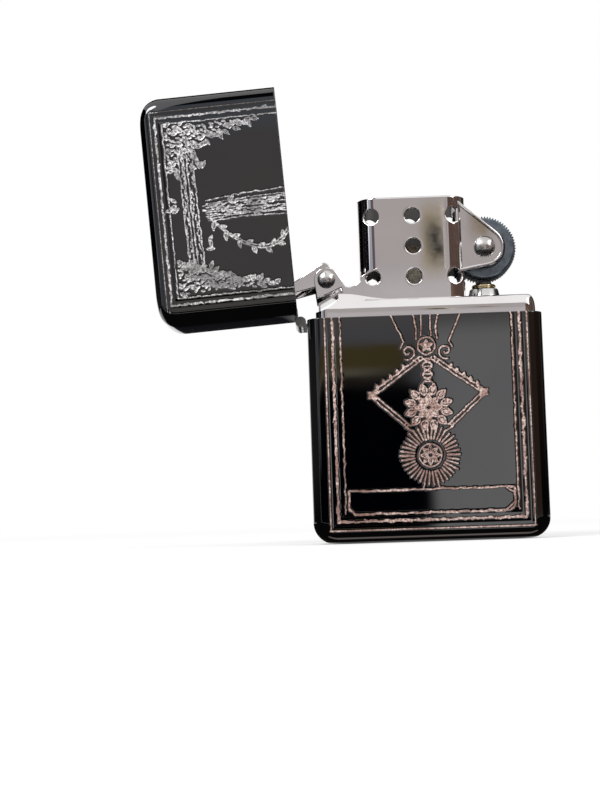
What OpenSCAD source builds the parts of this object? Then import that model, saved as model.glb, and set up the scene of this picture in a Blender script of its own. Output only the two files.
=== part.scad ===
// Flip-top petrol lighter: a drawn case with a hinged lid, and the burner insert that slides into the case.
// It stands on the underside of the case, at the origin, with its lid open. +Z is up, +X is the side of
// the flint wheel, and the front looks along -Y. Sizes are in millimetres.

/* [Case and lid] */
// Width of the case and the lid
case_w = 36.8; // [35:0.2:46]
// Depth of the case and the lid, front to back
case_d = 12.7; // [12:0.1:16]
// Height of the lighter with its lid shut
closed_h = 57.2; // [56:0.2:70]
// Height of the case's rim
rim_h = 35.2; // [33:0.2:36.4]
// Gap between the case's rim and the shut lid
seam_gap = 0.2; // [0.1:0.05:0.4]
// Thickness of the case and the lid
shell_t = 0.6; // [0.5:0.01:0.8]
// Radius of the four upright edges
side_r = 2.4; // [2:0.1:3]
// Radius of the closed end's corners, seen from the front
end_r = 3.4; // [2.5:0.1:4.5]
// Radius of the closed end's front and back edges
edge_r = 1.6; // [1.2:0.1:2.2]

/* [Hinge] */
// Angle the lid stands open at
lid_open = 94; // [0:1:100]
// Diameter of the hinge pin
pin_d = 0.9; // [0.8:0.01:1.1]
// Distance of the pin's axis from the side of the case
pin_out = 1.0; // [1:0.05:1.4]
// Distance of the pin's axis below the rim
pin_drop = 0.2; // [0.1:0.05:0.3]
// Wall of the knuckles
knuckle_t = 0.4; // [0.35:0.01:0.45]
// Number of knuckles, an odd number
knuckles = 5; // [3:2:7]
// Gap between two knuckles
knuckle_gap = 0.1; // [0.05:0.05:0.2]
// Distance from the front of the case to the end of the hinge
hinge_inset = 2.5; // [2.5:0.1:3.5]
// Thickness of the hinge's leaves
leaf_t = 0.5; // [0.4:0.05:0.55]
// Height of the leaf inside the case
case_leaf_h = 9; // [6:0.5:14]
// Height of the leaf inside the lid
lid_leaf_h = 4.2; // [3:0.1:4.5]

/* [Insert] */
// Gap between the insert and the case, at the front and the back
insert_gap = 0.25; // [0.15:0.05:0.4]
// Gap between the insert and the case on the hinge's side
hinge_side_gap = 0.8; // [0.7:0.05:1.2]
// Gap between the insert and the case on the wheel's side
wheel_side_gap = 0.3; // [0.25:0.05:0.5]
// Sheet thickness of the tank, the deck and the chimney
sheet_t = 0.5; // [0.4:0.05:0.6]
// Height of the deck above the case's rim
deck_rise = 2.9; // [2.5:0.1:3.2]
// Height of the deck's skirt, which stands on the tank
skirt_h = 4.1; // [3.6:0.1:5]
// Radius of the deck's upper edges
deck_r = 1.0; // [0.6:0.1:1]
// Width of the flat lip round the tank's open foot
foot_lip = 0.5; // [0.3:0.1:1]

/* [Chimney] */
// Width of the chimney
chimney_w = 17.1; // [15:0.1:18]
// Distance from the insert's side to the chimney, on the hinge's side
chimney_from_side = 7.15; // [7:0.05:7.5]
// Distance from the insert's front to the chimney's front
chimney_inset = 1.0; // [1:0.05:1.2]
// Radius of the chimney's upright edges
chimney_r = 3.2; // [2.8:0.1:3.6]
// Room between the chimney and the shut lid
lid_room = 2.4; // [1:0.1:3]
// Diameter of the air holes
hole_d = 2.35; // [2:0.05:2.8]
// Distance from the middle column of holes to the outer ones
hole_pitch = 6.5; // [6:0.1:7]
// Height of the lowest holes above the deck
hole_low = 3.4; // [3:0.1:4]
// Distance of the highest holes below the chimney's top
hole_drop = 3.0; // [2.5:0.1:4]

/* [Cam] */
// Distance of the cam's rivet from the insert's side
cam_from_side = 1.86; // [1.8:0.02:2]
// Height of the cam's rivet above the deck
cam_rise = 3.35; // [3.2:0.05:3.6]
// Radius of the ear round the rivet
ear_r = 1.95; // [1.8:0.05:2.1]
// Radius of the hollow cut into the deck under the ear
swoop_r = 4.85; // [4.7:0.05:5]
// Diameter of the cam's rivet
cam_rivet_d = 1.6; // [1.4:0.05:2]
// Diameter of the cam rivet's heads
cam_head_d = 2.8; // [2.4:0.1:3.2]
// Height of the cam rivet's heads
cam_head_h = 0.7; // [0.5:0.05:0.8]
// Gap between the cam and the ears
cam_gap = 0.2; // [0.1:0.05:0.4]
// Thickness of the cam's sheet
cam_t = 0.5; // [0.4:0.05:0.6]
// Thickness of the cam's leaf spring
spring_t = 0.3; // [0.2:0.05:0.35]
// Width of the cam's leaf spring
spring_w = 5.0; // [4:0.1:6]
// Distance from the cam's rivet to the leaf spring
spring_from_cam = 2.4; // [2.3:0.05:2.6]

/* [Flint wheel] */
// Diameter of the flint wheel over its teeth
wheel_d = 10.3; // [9:0.1:10.5]
// Distance of the wheel's axle from the chimney
axle_out = 2.72; // [2.6:0.02:2.9]
// Height of the wheel's axle above the deck
axle_rise = 7.9; // [7.5:0.1:8.3]
// Diameter of the wheel's axle
axle_d = 1.8; // [1.5:0.05:2.2]
// Diameter of the axle's rivet heads
axle_head_d = 3.4; // [2.8:0.1:3.8]
// Height of the axle's rivet heads
axle_head_h = 0.9; // [0.6:0.05:1.1]
// Number of teeth
teeth = 70; // [50:2:90]
// Depth of the teeth
tooth_h = 0.3; // [0.2:0.05:0.4]
// Diameter of the wheel's smooth sides
hub_d = 9.4; // [8:0.1:9.6]
// How far the smooth sides stand proud of the teeth
hub_proud = 0.4; // [0.2:0.05:0.5]
// Gap between the wheel and its bracket
wheel_gap = 0.3; // [0.2:0.05:0.4]
// Distance from the chimney's front to the bracket's front
bracket_inset = 1.0; // [0.9:0.05:1.1]
// Radius of the bracket round the axle
bracket_r = 3.1; // [2.8:0.1:3.4]
// Width of the bracket's raised rim
bracket_rim = 0.45; // [0.3:0.05:0.6]
// Height of the bracket's raised rim
bracket_rim_h = 0.35; // [0.2:0.05:0.5]

/* [Flint feed] */
// Diameter of the flint
flint_d = 2.5; // [2.2:0.05:2.8]
// Length of the flint
flint_h = 5.2; // [4:0.1:6]
// Gap round the flint in its tube
flint_clear = 0.08; // [0.05:0.01:0.1]
// Wall of the flint tube
tube_t = 0.35; // [0.3:0.05:0.5]
// Diameter of the collar round the tube, on the deck
collar_d = 5.2; // [4.6:0.1:5.4]
// Height of the collar
collar_h = 1.6; // [1:0.05:1.8]
// Height of the rolled rim on the tube's end
tube_rim_h = 0.7; // [0.4:0.05:0.8]
// How far the rolled rim stands out from the tube
tube_rim_out = 0.25; // [0.15:0.05:0.35]
// Diameter of the flint screw's head
screw_head_d = 4.6; // [4.2:0.1:5]
// Height of the flint screw's head
screw_head_h = 0.9; // [0.8:0.05:1.2]
// Length of the flint screw's thread
screw_thread_h = 7; // [5:0.5:9]
// Diameter of the coil spring's wire
coil_wire_d = 0.3; // [0.25:0.05:0.35]
// Turns of the coil spring
coil_turns = 12; // [10:1:16]

/* [Fuel] */
// Diameter of the wick
wick_d = 3.0; // [2.5:0.1:3.4]
// Height of the wick above the deck
wick_rise = 8.9; // [7:0.1:10]
// Diameter of the wick's copper wire
wire_d = 0.3; // [0.2:0.05:0.4]
// Thickness of the felt pad
felt_t = 3; // [2:0.1:4]
// Gap round the cotton and the felt
packing_gap = 0.1; // [0.05:0.05:0.3]

/* [Hidden] */
$fn = 48;

// How far a cut runs past the face it opens
cut = 0.1;
// Running clearance, on the radius, between a pin and the piece that turns on it
run_fit = 0.05;

// Case, lid and hinge
half_w = case_w / 2;
half_d = case_d / 2;
mouth_z = rim_h + seam_gap;
pin_x = -half_w - pin_out;
pin_z = rim_h - pin_drop;
knuckle_r = pin_d / 2 + knuckle_t;
hinge_len = case_d - 2 * hinge_inset;
knuckle_pitch = (hinge_len + knuckle_gap) / knuckles;
knuckle_len = knuckle_pitch - knuckle_gap;
// The straps leave the knuckles a little inside their rims, so that the two surfaces cross cleanly
strap_sink = 0.05;
strap_z = knuckle_r - strap_sink;
wall_x = -half_w + shell_t;
leaf_x = wall_x + leaf_t;
notch_gap = 0.1;

// Insert
insert_x0 = wall_x + hinge_side_gap;
insert_x1 = half_w - shell_t - wheel_side_gap;
insert_w = insert_x1 - insert_x0;
insert_x = (insert_x0 + insert_x1) / 2;
insert_d = case_d - 2 * (shell_t + insert_gap);
insert_side_r = side_r - shell_t;
insert_end_r = end_r - shell_t;
insert_edge_r = edge_r - shell_t;
deck_z = rim_h + deck_rise;
skirt_z = deck_z - skirt_h;
tank_in_z = shell_t + sheet_t;
tank_in_w = insert_w - 2 * sheet_t;
tank_in_d = insert_d - 2 * sheet_t;

// Chimney
chimney_x0 = insert_x0 + chimney_from_side;
chimney_x1 = chimney_x0 + chimney_w;
chimney_x = (chimney_x0 + chimney_x1) / 2;
chimney_d = insert_d - 2 * chimney_inset;
chimney_top = closed_h - shell_t - lid_room;
hole_z0 = deck_z + hole_low;
hole_z1 = chimney_top - hole_drop;

// Cam: [x, z] of its rivet, and its side plates' outer face
cam_at = [insert_x0 + cam_from_side, deck_z + cam_rise];
cam_half = chimney_d / 2 - sheet_t - cam_gap;
// Middle of the hollow under the ear, from the rivet
swoop_at = cam_at + [-2.1, -0.3];
// Ear: its lower tip and the two corners of its lower edge, from the rivet
ear_tip = [-1.57, -2.97];
ear_edge = [0.44, -2.16];
ear_neck = [2.3, -1.3];
// Valley between the ear and the chimney: its middle, from the rivet, and its radius
valley_at = [3.6, 0.7];
valley_r = 1.95;
valley_start = -108;
valley_end = -8;
// Cam: its outline from the rivet, with the lid open
cam_corner = [-0.35, 2.85];
cam_arm = [-5.3, -0.2];
cam_nose = [-5.75, -0.9];
cam_chin = [-5.2, -1.85];
cam_under = [-1.9, -1.05];
cam_hub_r = 1.6;
cam_shoulder = [0.75, 2.1];

// Leaf spring under the cam
spring_x = insert_x0 + sheet_t;
spring_slope = 28;
spring_tip_out = 1.4;
spring_foot_h = 8;
spring_rivet_d = 1.0;
spring_rivet_head_d = 1.6;
spring_rivet_head_h = 0.3;
spring_rivet_pitch = 2.6;
spring_rivet_low = 2;

// Flint wheel
axle_at = [chimney_x1 + axle_out, deck_z + axle_rise];
bracket_y = chimney_d / 2 - bracket_inset;
wheel_half = bracket_y - sheet_t - wheel_gap;
slot_half = bracket_y - sheet_t;
slot_room = 0.5;
// Directions, from the axle, in which the bracket's two straight edges face
bracket_top_a = 49;
bracket_low_a = -80;

// Flint feed, stacked up from the screw's head
tube_in_r = flint_d / 2 + flint_clear;
tube_r = tube_in_r + tube_t;
floor_gap = 0.15;
screw_z = shell_t + floor_gap;
tube_z = screw_z + screw_head_h;
tube_top = deck_z + collar_h + tube_rim_h;
screw_slot_w = 0.5;
screw_slot_h = 0.35;
strike_gap = 0.08;
flint_top = axle_at[1] - wheel_d / 2 - strike_gap;
flint_z = flint_top - flint_h;
tip_h = 1.2;
tip_z = flint_z - tip_h;
coil_z0 = tube_z + screw_thread_h;
coil_r = tube_in_r - flint_clear - coil_wire_d / 2;
coil_sides = 6;
coil_steps = 12;

// Wick and packing
wick_foot = 20;
wire_proud = 0.3;
cotton_z0 = tank_in_z + felt_t + packing_gap;
cotton_z1 = skirt_z - 1;
cotton_x0 = spring_x + 1.3;
screw_room = 0.3;

dark_metal = "#1c1b1e";
chrome = "#c9c3c4";
steel = "#6b7378";
brass = "#c3a463";

// Points on an arc, from angle a0 to angle a1
function arc(middle, r, a0, a1, steps = 16) =
    [for (i = [0:steps]) middle + r * [cos(a0 + (a1 - a0) * i / steps), sin(a0 + (a1 - a0) * i / steps)]];

// Direction, from a circle's middle, of the point where a line from p touches it; side is 1 or -1
function touch_angle(p, middle, r, side) =
    atan2(p[1] - middle[1], p[0] - middle[0]) + side * acos(r / norm(p - middle));

module rounded_rect(w, d, r) {
    square([w - 2 * r, d], center = true);
    square([w, d - 2 * r], center = true);
    for (x = [-1, 1], y = [-1, 1])
        translate([x * (w / 2 - r), y * (d / 2 - r)])
            circle(r);
}

// A rectangle standing on the X axis, with its two lower corners rounded
module foot_rounded(w, h, r) {
    translate([-w / 2, r])
        square([w, h - r]);
    translate([-w / 2 + r, 0])
        square([w - 2 * r, h]);
    for (x = [-1, 1])
        translate([x * (w / 2 - r), r])
            circle(r);
}

// A profile in X and Z, carried along Y
module along_y(from, to) {
    translate([0, to, 0])
        rotate([90, 0, 0])
            linear_extrude(to - from)
                children();
}

// A profile in Y and Z, carried along X
module along_x(from, to) {
    translate([from, 0, 0])
        rotate([90, 0, 90])
            linear_extrude(to - from)
                children();
}

// A round bar along Y, its middle at [x, z]
module bar_y(at, r, from, to) {
    translate([at[0], to, at[1]])
        rotate([90, 0, 0])
            cylinder(r = r, h = to - from);
}

// A block on z = 0 with rounded upright edges and a rounded foot
module block(w, d, h, upright_r, corner_r, fold_r) {
    intersection() {
        linear_extrude(h)
            rounded_rect(w, d, upright_r);
        along_y(-d, d)
            foot_rounded(w, h, corner_r);
        along_x(-w, w)
            foot_rounded(d, h, fold_r);
    }
}

// A rivet head: a low dome on z = 0
module dome(d, h) {
    dome_r = (d * d / 4 + h * h) / (2 * h);
    rotate_extrude()
        intersection() {
            translate([0, h - dome_r])
                circle(dome_r);
            square([d, h]);
        }
}

// A dome on each side, facing out along Y
module two_domes(at, d, h, half) {
    for (side = [-1, 1])
        translate([at[0], side * half, at[1]])
            rotate([-side * 90, 0, 0])
                dome(d, h);
}

// The drawn shell that the case and the lid share: open above, closed at z = 0
module shell(h) {
    difference() {
        block(case_w, case_d, h, side_r, end_r, edge_r);
        translate([0, 0, shell_t])
            block(case_w - 2 * shell_t, case_d - 2 * shell_t, h,
                side_r - shell_t, end_r - shell_t, edge_r - shell_t);
    }
}

// Everything on the lid, drawn shut, swings open about the pin
module swung_open() {
    translate([pin_x, 0, pin_z])
        rotate([0, -lid_open, 0])
            translate([-pin_x, 0, -pin_z])
                children();
}

module hinge_notch(from, to) {
    translate([-half_w - cut, -hinge_len / 2 - notch_gap, from])
        cube([shell_t + 2 * cut, hinge_len + 2 * notch_gap, to - from]);
}

// Round bars at every other knuckle, starting at the one numbered first
module knuckle_bars(first, r, grow) {
    for (i = [first:2:knuckles - 1])
        bar_y([pin_x, pin_z], r, -hinge_len / 2 + i * knuckle_pitch - grow,
            -hinge_len / 2 + i * knuckle_pitch + knuckle_len + grow);
}

// One leaf of the hinge; up is 1 for the lid's and -1 for the case's
module hinge_leaf(first, up, leaf_h, bore_r) {
    strap_from = pin_z + (up > 0 ? strap_z - leaf_t : -strap_z);
    leaf_from = up > 0 ? strap_from : strap_from + leaf_t - leaf_h;
    difference() {
        union() {
            knuckle_bars(first, knuckle_r, 0);
            difference() {
                union() {
                    translate([pin_x, -hinge_len / 2, strap_from])
                        cube([leaf_x - pin_x, hinge_len, leaf_t]);
                    translate([wall_x, -hinge_len / 2, leaf_from])
                        cube([leaf_t, hinge_len, leaf_h]);
                }
                knuckle_bars(1 - first, knuckle_r + knuckle_gap, knuckle_gap);
            }
        }
        bar_y([pin_x, pin_z], bore_r, -half_d, half_d);
    }
}

module case_shell() {
    color(dark_metal)
        difference() {
            shell(rim_h);
            hinge_notch(pin_z - strap_z - notch_gap, rim_h + cut);
        }
}

module lid_shell() {
    color(dark_metal)
        swung_open()
            difference() {
                translate([0, 0, closed_h])
                    rotate([180, 0, 0])
                        shell(closed_h - mouth_z);
                hinge_notch(mouth_z - cut, pin_z + strap_z + notch_gap);
            }
}

module case_hinge_leaf() {
    color(chrome)
        hinge_leaf(0, -1, case_leaf_h, pin_d / 2);
}

module lid_hinge_leaf() {
    color(chrome)
        swung_open()
            hinge_leaf(1, 1, lid_leaf_h, pin_d / 2 + run_fit);
}

module hinge_pin() {
    color(chrome)
        bar_y([pin_x, pin_z], pin_d / 2, -hinge_len / 2, hinge_len / 2);
}

module insert_tank() {
    color(chrome)
        translate([insert_x, 0, shell_t])
            difference() {
                block(insert_w, insert_d, skirt_z - shell_t, insert_side_r, insert_end_r, insert_edge_r);
                translate([0, 0, sheet_t])
                    block(tank_in_w, tank_in_d, skirt_z, insert_side_r - sheet_t,
                        insert_end_r - sheet_t, insert_edge_r - sheet_t);
                translate([0, 0, -cut])
                    linear_extrude(sheet_t + 2 * cut)
                        rounded_rect(insert_w - 2 * (insert_end_r + foot_lip),
                            insert_d - 2 * (insert_edge_r + foot_lip), foot_lip);
                spring_rivet_holes();
            }
}

module insert_deck() {
    color(chrome)
        difference() {
            translate([insert_x, 0, deck_z])
                rotate([180, 0, 0])
                    difference() {
                        block(insert_w, insert_d, skirt_h, insert_side_r, deck_r, deck_r);
                        translate([0, 0, sheet_t])
                            block(tank_in_w, tank_in_d, skirt_h, insert_side_r - sheet_t,
                                deck_r - sheet_t / 2, deck_r - sheet_t / 2);
                    }
            bar_y(swoop_at, swoop_r, -half_d, half_d);
            translate([chimney_x, 0, skirt_z])
                cylinder(d = wick_d, h = skirt_h + cut);
            translate([axle_at[0], 0, skirt_z])
                cylinder(r = tube_r, h = skirt_h + cut);
        }
}

// Front view of the plate beside the chimney: the ear for the rivet, the valley, and the web below them
module ear_profile() {
    left_a = touch_angle(ear_tip, [0, 0], ear_r, -1);
    valley = arc(valley_at, valley_r, valley_start, valley_end);
    right_a = touch_angle(valley[0], [0, 0], ear_r, 1);
    web_x = chimney_x0 + chimney_r - cam_at[0];
    web_top = valley[len(valley) - 1][1] + 2;
    translate(cam_at) {
        polygon(concat([ear_tip, ear_edge, ear_neck, valley[0]], arc([0, 0], ear_r, right_a, left_a + 360)));
        difference() {
            polygon(concat([[ear_edge[0], -cam_rise], ear_edge, ear_neck], valley,
                [[web_x - chimney_r + 1.2, web_top], [web_x, web_top], [web_x, -cam_rise]]));
            ear_gap();
        }
    }
}

// The hollow under the ear, below its lower edge
module ear_gap() {
    intersection() {
        translate(swoop_at - cam_at)
            circle(swoop_r);
        polygon([ear_tip - [2, 0], ear_tip, ear_edge, ear_neck, ear_neck + [1, -0.7],
            ear_neck + [1, -6], [ear_tip[0] - 2, -8]]);
    }
}

// Front view of the wheel's bracket, drawn in by inset along its free edges
module bracket_profile(inset) {
    r = bracket_r - inset;
    inner_x = chimney_x1 - chimney_r / 2 + inset;
    top_at = axle_at + r * [cos(bracket_top_a), sin(bracket_top_a)];
    low_at = axle_at + r * [cos(bracket_low_a), sin(bracket_low_a)];
    top_run = (top_at[0] - inner_x) / sin(bracket_top_a);
    low_run = (low_at[0] - inner_x) / -sin(bracket_low_a);
    polygon(concat(
        arc(axle_at, r, bracket_low_a, bracket_top_a),
        [top_at + top_run * [-sin(bracket_top_a), cos(bracket_top_a)]],
        [low_at + low_run * [sin(bracket_low_a), -cos(bracket_low_a)]]));
}

module chimney_holes() {
    for (side = [-1, 1], z = [hole_z0, hole_z1])
        bar_y([chimney_x + side * hole_pitch, z], hole_d / 2, -half_d, half_d);
    for (z = [hole_z0, (hole_z0 + hole_z1) / 2, hole_z1])
        bar_y([chimney_x, z], hole_d / 2, -half_d, half_d);
}

module chimney() {
    color(chrome)
        difference() {
            union() {
                difference() {
                    translate([chimney_x, 0, deck_z])
                        linear_extrude(chimney_top - deck_z)
                            difference() {
                                rounded_rect(chimney_w, chimney_d, chimney_r);
                                rounded_rect(chimney_w - 2 * sheet_t, chimney_d - 2 * sheet_t,
                                    chimney_r - sheet_t);
                            }
                    translate([chimney_x1 - chimney_r, -slot_half, deck_z - cut])
                        cube([chimney_r + cut, 2 * slot_half, axle_rise + wheel_d / 2 + slot_room]);
                }
                for (side = [-1, 1]) {
                    ear_y = side * (chimney_d - sheet_t) / 2;
                    along_y(ear_y - sheet_t / 2, ear_y + sheet_t / 2)
                        ear_profile();
                    plate_y = side * (bracket_y - sheet_t / 2);
                    along_y(plate_y - sheet_t / 2, plate_y + sheet_t / 2)
                        bracket_profile(0);
                    rim_y = side * (bracket_y + bracket_rim_h / 2);
                    along_y(rim_y - bracket_rim_h / 2, rim_y + bracket_rim_h / 2)
                        difference() {
                            bracket_profile(0);
                            bracket_profile(bracket_rim);
                        }
                }
            }
            chimney_holes();
            bar_y(cam_at, cam_rivet_d / 2, -half_d, half_d);
            bar_y(axle_at, axle_d / 2, -half_d, half_d);
        }
}

// Front view of the cam, its rivet at the origin
module cam_profile() {
    under_a = touch_angle(cam_under, [0, 0], cam_hub_r, 1);
    shoulder_a = touch_angle(cam_shoulder, [0, 0], cam_hub_r, -1);
    polygon(concat([cam_corner, cam_arm, cam_nose, cam_chin, cam_under],
        arc([0, 0], cam_hub_r, under_a, shoulder_a), [cam_shoulder]));
}

// The folded strip that joins the cam's two sides, along its upper edge
module cam_fold() {
    polygon([cam_corner, cam_arm, cam_arm + [0.2, -cam_t], cam_corner + [0.1, -1.2 * cam_t]]);
}

module cam() {
    color(chrome)
        translate([cam_at[0], 0, cam_at[1]]) {
            difference() {
                union() {
                    for (side = [-1, 1])
                        along_y(side * (cam_half - cam_t / 2) - cam_t / 2, side * (cam_half - cam_t / 2) + cam_t / 2)
                            cam_profile();
                    along_y(-cam_half + cam_t / 2, cam_half - cam_t / 2)
                        cam_fold();
                }
                bar_y([0, 0], cam_rivet_d / 2 + run_fit, -half_d, half_d);
            }
        }
}

module cam_rivet() {
    color(chrome) {
        bar_y(cam_at, cam_rivet_d / 2, -chimney_d / 2, chimney_d / 2);
        two_domes(cam_at, cam_head_d, cam_head_h, chimney_d / 2);
    }
}

module cam_spring() {
    slope = [cos(spring_slope), sin(spring_slope)];
    across = [sin(spring_slope), -cos(spring_slope)];
    under_cam = cam_at + spring_from_cam * across;
    tip = under_cam + spring_tip_out * slope;
    bend_run = (under_cam[0] - spring_x) / slope[0];
    bend = under_cam - bend_run * slope;
    foot_z = skirt_z - spring_foot_h;
    color(steel)
        difference() {
            along_y(-spring_w / 2, spring_w / 2)
                polygon([[spring_x, foot_z], [spring_x + spring_t, foot_z], [spring_x + spring_t, bend[1] - spring_t],
                    tip + spring_t * across, tip, bend]);
            spring_rivet_bars(spring_rivet_d);
        }
}

// Positions of the two rivets that hold the leaf spring to the tank
module spring_rivet_bars(d) {
    for (side = [-1, 1])
        translate([insert_x0 - cut, side * spring_rivet_pitch / 2, skirt_z - spring_foot_h + spring_rivet_low])
            rotate([0, 90, 0])
                cylinder(d = d, h = sheet_t + spring_t + 2 * cut);
}

module spring_rivet_holes() {
    translate([-insert_x, 0, -shell_t])
        spring_rivet_bars(spring_rivet_d);
}

module cam_spring_rivets() {
    color(steel)
        for (side = [-1, 1])
            translate([insert_x0, side * spring_rivet_pitch / 2, skirt_z - spring_foot_h + spring_rivet_low])
                rotate([0, 90, 0]) {
                    cylinder(d = spring_rivet_d, h = sheet_t + spring_t);
                    translate([0, 0, sheet_t + spring_t])
                        cylinder(d = spring_rivet_head_d, h = spring_rivet_head_h);
                }
}

module flint_wheel() {
    tooth = 360 / teeth;
    color(steel)
        difference() {
            union() {
                along_y(-wheel_half + hub_proud, wheel_half - hub_proud)
                    polygon([for (i = [0:2 * teeth - 1])
                        axle_at + (wheel_d / 2 - (i % 2) * tooth_h) * [cos(i * tooth / 2), sin(i * tooth / 2)]]);
                bar_y(axle_at, hub_d / 2, -wheel_half, wheel_half);
            }
            bar_y(axle_at, axle_d / 2 + run_fit, -half_d, half_d);
        }
}

module wheel_rivet() {
    color(chrome) {
        bar_y(axle_at, axle_d / 2, -bracket_y, bracket_y);
        two_domes(axle_at, axle_head_d, axle_head_h, bracket_y);
    }
}

module flint_tube() {
    color(brass)
        translate([axle_at[0], 0, tube_z])
            difference() {
                union() {
                    cylinder(r = tube_r, h = tube_top - tube_z);
                    translate([0, 0, tube_top - tube_rim_h - tube_z])
                        cylinder(r = tube_r + tube_rim_out, h = tube_rim_h);
                }
                translate([0, 0, -cut])
                    cylinder(r = tube_in_r, h = tube_top - tube_z + 2 * cut);
            }
}

module flint_tube_collar() {
    color(chrome)
        translate([axle_at[0], 0, deck_z])
            difference() {
                cylinder(d1 = collar_d, d2 = collar_d - collar_h / 2, h = collar_h);
                translate([0, 0, -cut])
                    cylinder(r = tube_r, h = collar_h + 2 * cut);
            }
}

module flint() {
    color("#55504a")
        translate([axle_at[0], 0, flint_z])
            cylinder(d = flint_d, h = flint_h);
}

module flint_spring_tip() {
    color(brass)
        translate([axle_at[0], 0, tip_z])
            cylinder(d = flint_d, h = tip_h);
}

// Middle of the coil spring's wire after a number of steps, and the directions across it
function coil_point(i) =
    let (a = 360 * i / coil_steps, rise = tip_z - coil_z0 - coil_wire_d)
    [coil_r * cos(a), coil_r * sin(a), coil_z0 + coil_wire_d / 2 + rise * i / (coil_turns * coil_steps)];

function coil_ring(i) =
    let (a = 360 * i / coil_steps, middle = coil_point(i), wire_r = coil_wire_d / 2)
    [for (k = [0:coil_sides - 1])
        let (b = 360 * k / coil_sides)
        middle + wire_r * [cos(b) * cos(a), cos(b) * sin(a), sin(b)]];

module flint_spring() {
    rings = coil_turns * coil_steps;
    points = [for (i = [0:rings], p = coil_ring(i)) p];
    sides = [for (i = [0:rings - 1], k = [0:coil_sides - 1])
        let (next = (k + 1) % coil_sides)
        each [
            [i * coil_sides + next, (i + 1) * coil_sides + next, (i + 1) * coil_sides + k],
            [i * coil_sides + next, (i + 1) * coil_sides + k, i * coil_sides + k]
        ]];
    start = [[for (k = [coil_sides - 1:-1:0]) k]];
    finish = [[for (k = [0:coil_sides - 1]) rings * coil_sides + k]];
    color(steel)
        translate([axle_at[0], 0, 0])
            polyhedron(points = points, faces = concat(sides, start, finish));
}

module flint_screw() {
    color(brass)
        translate([axle_at[0], 0, screw_z])
            difference() {
                union() {
                    cylinder(d = screw_head_d, h = screw_head_h);
                    cylinder(r = tube_in_r, h = screw_head_h + screw_thread_h);
                }
                translate([-screw_head_d, -screw_slot_w / 2, -cut])
                    cube([2 * screw_head_d, screw_slot_w, screw_slot_h + cut]);
            }
}

module wick() {
    color("#b98a52")
        translate([chimney_x, 0, wick_foot])
            difference() {
                cylinder(d = wick_d, h = deck_z + wick_rise - wick_foot);
                translate([0, 0, -cut])
                    cylinder(d = wire_d, h = deck_z + wick_rise - wick_foot + 2 * cut);
            }
}

module wick_wire() {
    color("#b5693f")
        translate([chimney_x, 0, wick_foot])
            cylinder(d = wire_d, h = deck_z + wick_rise + wire_proud - wick_foot);
}

module cotton_packing() {
    cotton_x1 = insert_x1 - sheet_t - packing_gap;
    color("white")
        translate([0, 0, cotton_z0])
            difference() {
                translate([(cotton_x0 + cotton_x1) / 2, 0, 0])
                    linear_extrude(cotton_z1 - cotton_z0)
                        rounded_rect(cotton_x1 - cotton_x0, tank_in_d - 2 * packing_gap, insert_side_r - sheet_t);
                translate([chimney_x, 0, wick_foot - cotton_z0])
                    cylinder(d = wick_d, h = cotton_z1);
                translate([axle_at[0], 0, -cut])
                    cylinder(r = tube_r + packing_gap, h = cotton_z1);
            }
}

module felt_pad() {
    color("#d8d4c8")
        translate([insert_x, 0, tank_in_z])
            difference() {
                block(tank_in_w - 2 * packing_gap, tank_in_d - 2 * packing_gap, felt_t, insert_side_r - sheet_t,
                    insert_end_r - sheet_t, insert_edge_r - sheet_t);
                translate([axle_at[0] - insert_x, 0, -cut])
                    cylinder(d = screw_head_d + screw_room, h = felt_t + 2 * cut);
            }
}

case_shell();
case_hinge_leaf();
hinge_pin();
lid_shell();
lid_hinge_leaf();
insert_tank();
insert_deck();
chimney();
cam();
cam_rivet();
cam_spring();
cam_spring_rivets();
flint_wheel();
wheel_rivet();
flint_tube();
flint_tube_collar();
flint();
flint_spring();
flint_spring_tip();
flint_screw();
wick();
wick_wire();
cotton_packing();
felt_pad();
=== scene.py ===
"""Looks of the flip-top lighter: engraved black shells, chromed burner insert, studio and camera.

Lengths in this file are millimetres in the frame's axes; the mesh helpers scale them to metres.
"""
import math

import bpy
import numpy as np
from mathutils import Matrix, Vector
from mathutils.geometry import delaunay_2d_cdt


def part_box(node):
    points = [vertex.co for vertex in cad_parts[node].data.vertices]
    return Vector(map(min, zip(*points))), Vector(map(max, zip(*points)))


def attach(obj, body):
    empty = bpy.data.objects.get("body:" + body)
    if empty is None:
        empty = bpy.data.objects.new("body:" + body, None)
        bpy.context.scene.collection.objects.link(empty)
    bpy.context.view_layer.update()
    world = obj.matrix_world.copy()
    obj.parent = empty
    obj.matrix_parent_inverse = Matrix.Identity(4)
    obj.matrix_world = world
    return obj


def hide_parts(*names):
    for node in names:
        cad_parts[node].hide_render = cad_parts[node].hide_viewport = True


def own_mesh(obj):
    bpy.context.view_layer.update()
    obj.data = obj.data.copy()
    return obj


MM = 0.001
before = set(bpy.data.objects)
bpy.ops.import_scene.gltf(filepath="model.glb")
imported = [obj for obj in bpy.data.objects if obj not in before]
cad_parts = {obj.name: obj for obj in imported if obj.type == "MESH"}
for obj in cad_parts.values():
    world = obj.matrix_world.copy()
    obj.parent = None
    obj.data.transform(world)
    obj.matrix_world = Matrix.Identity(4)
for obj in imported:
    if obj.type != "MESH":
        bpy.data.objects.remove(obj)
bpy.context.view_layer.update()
RNG = np.random.default_rng(20)


def node_box(node):
    """Lowest and highest corner of a CAD node, in millimetres."""
    low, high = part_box(node)
    return np.array(low) / MM, np.array(high) / MM


# ---------------------------------------------------------------- sizes, from the frame where it has them

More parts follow.
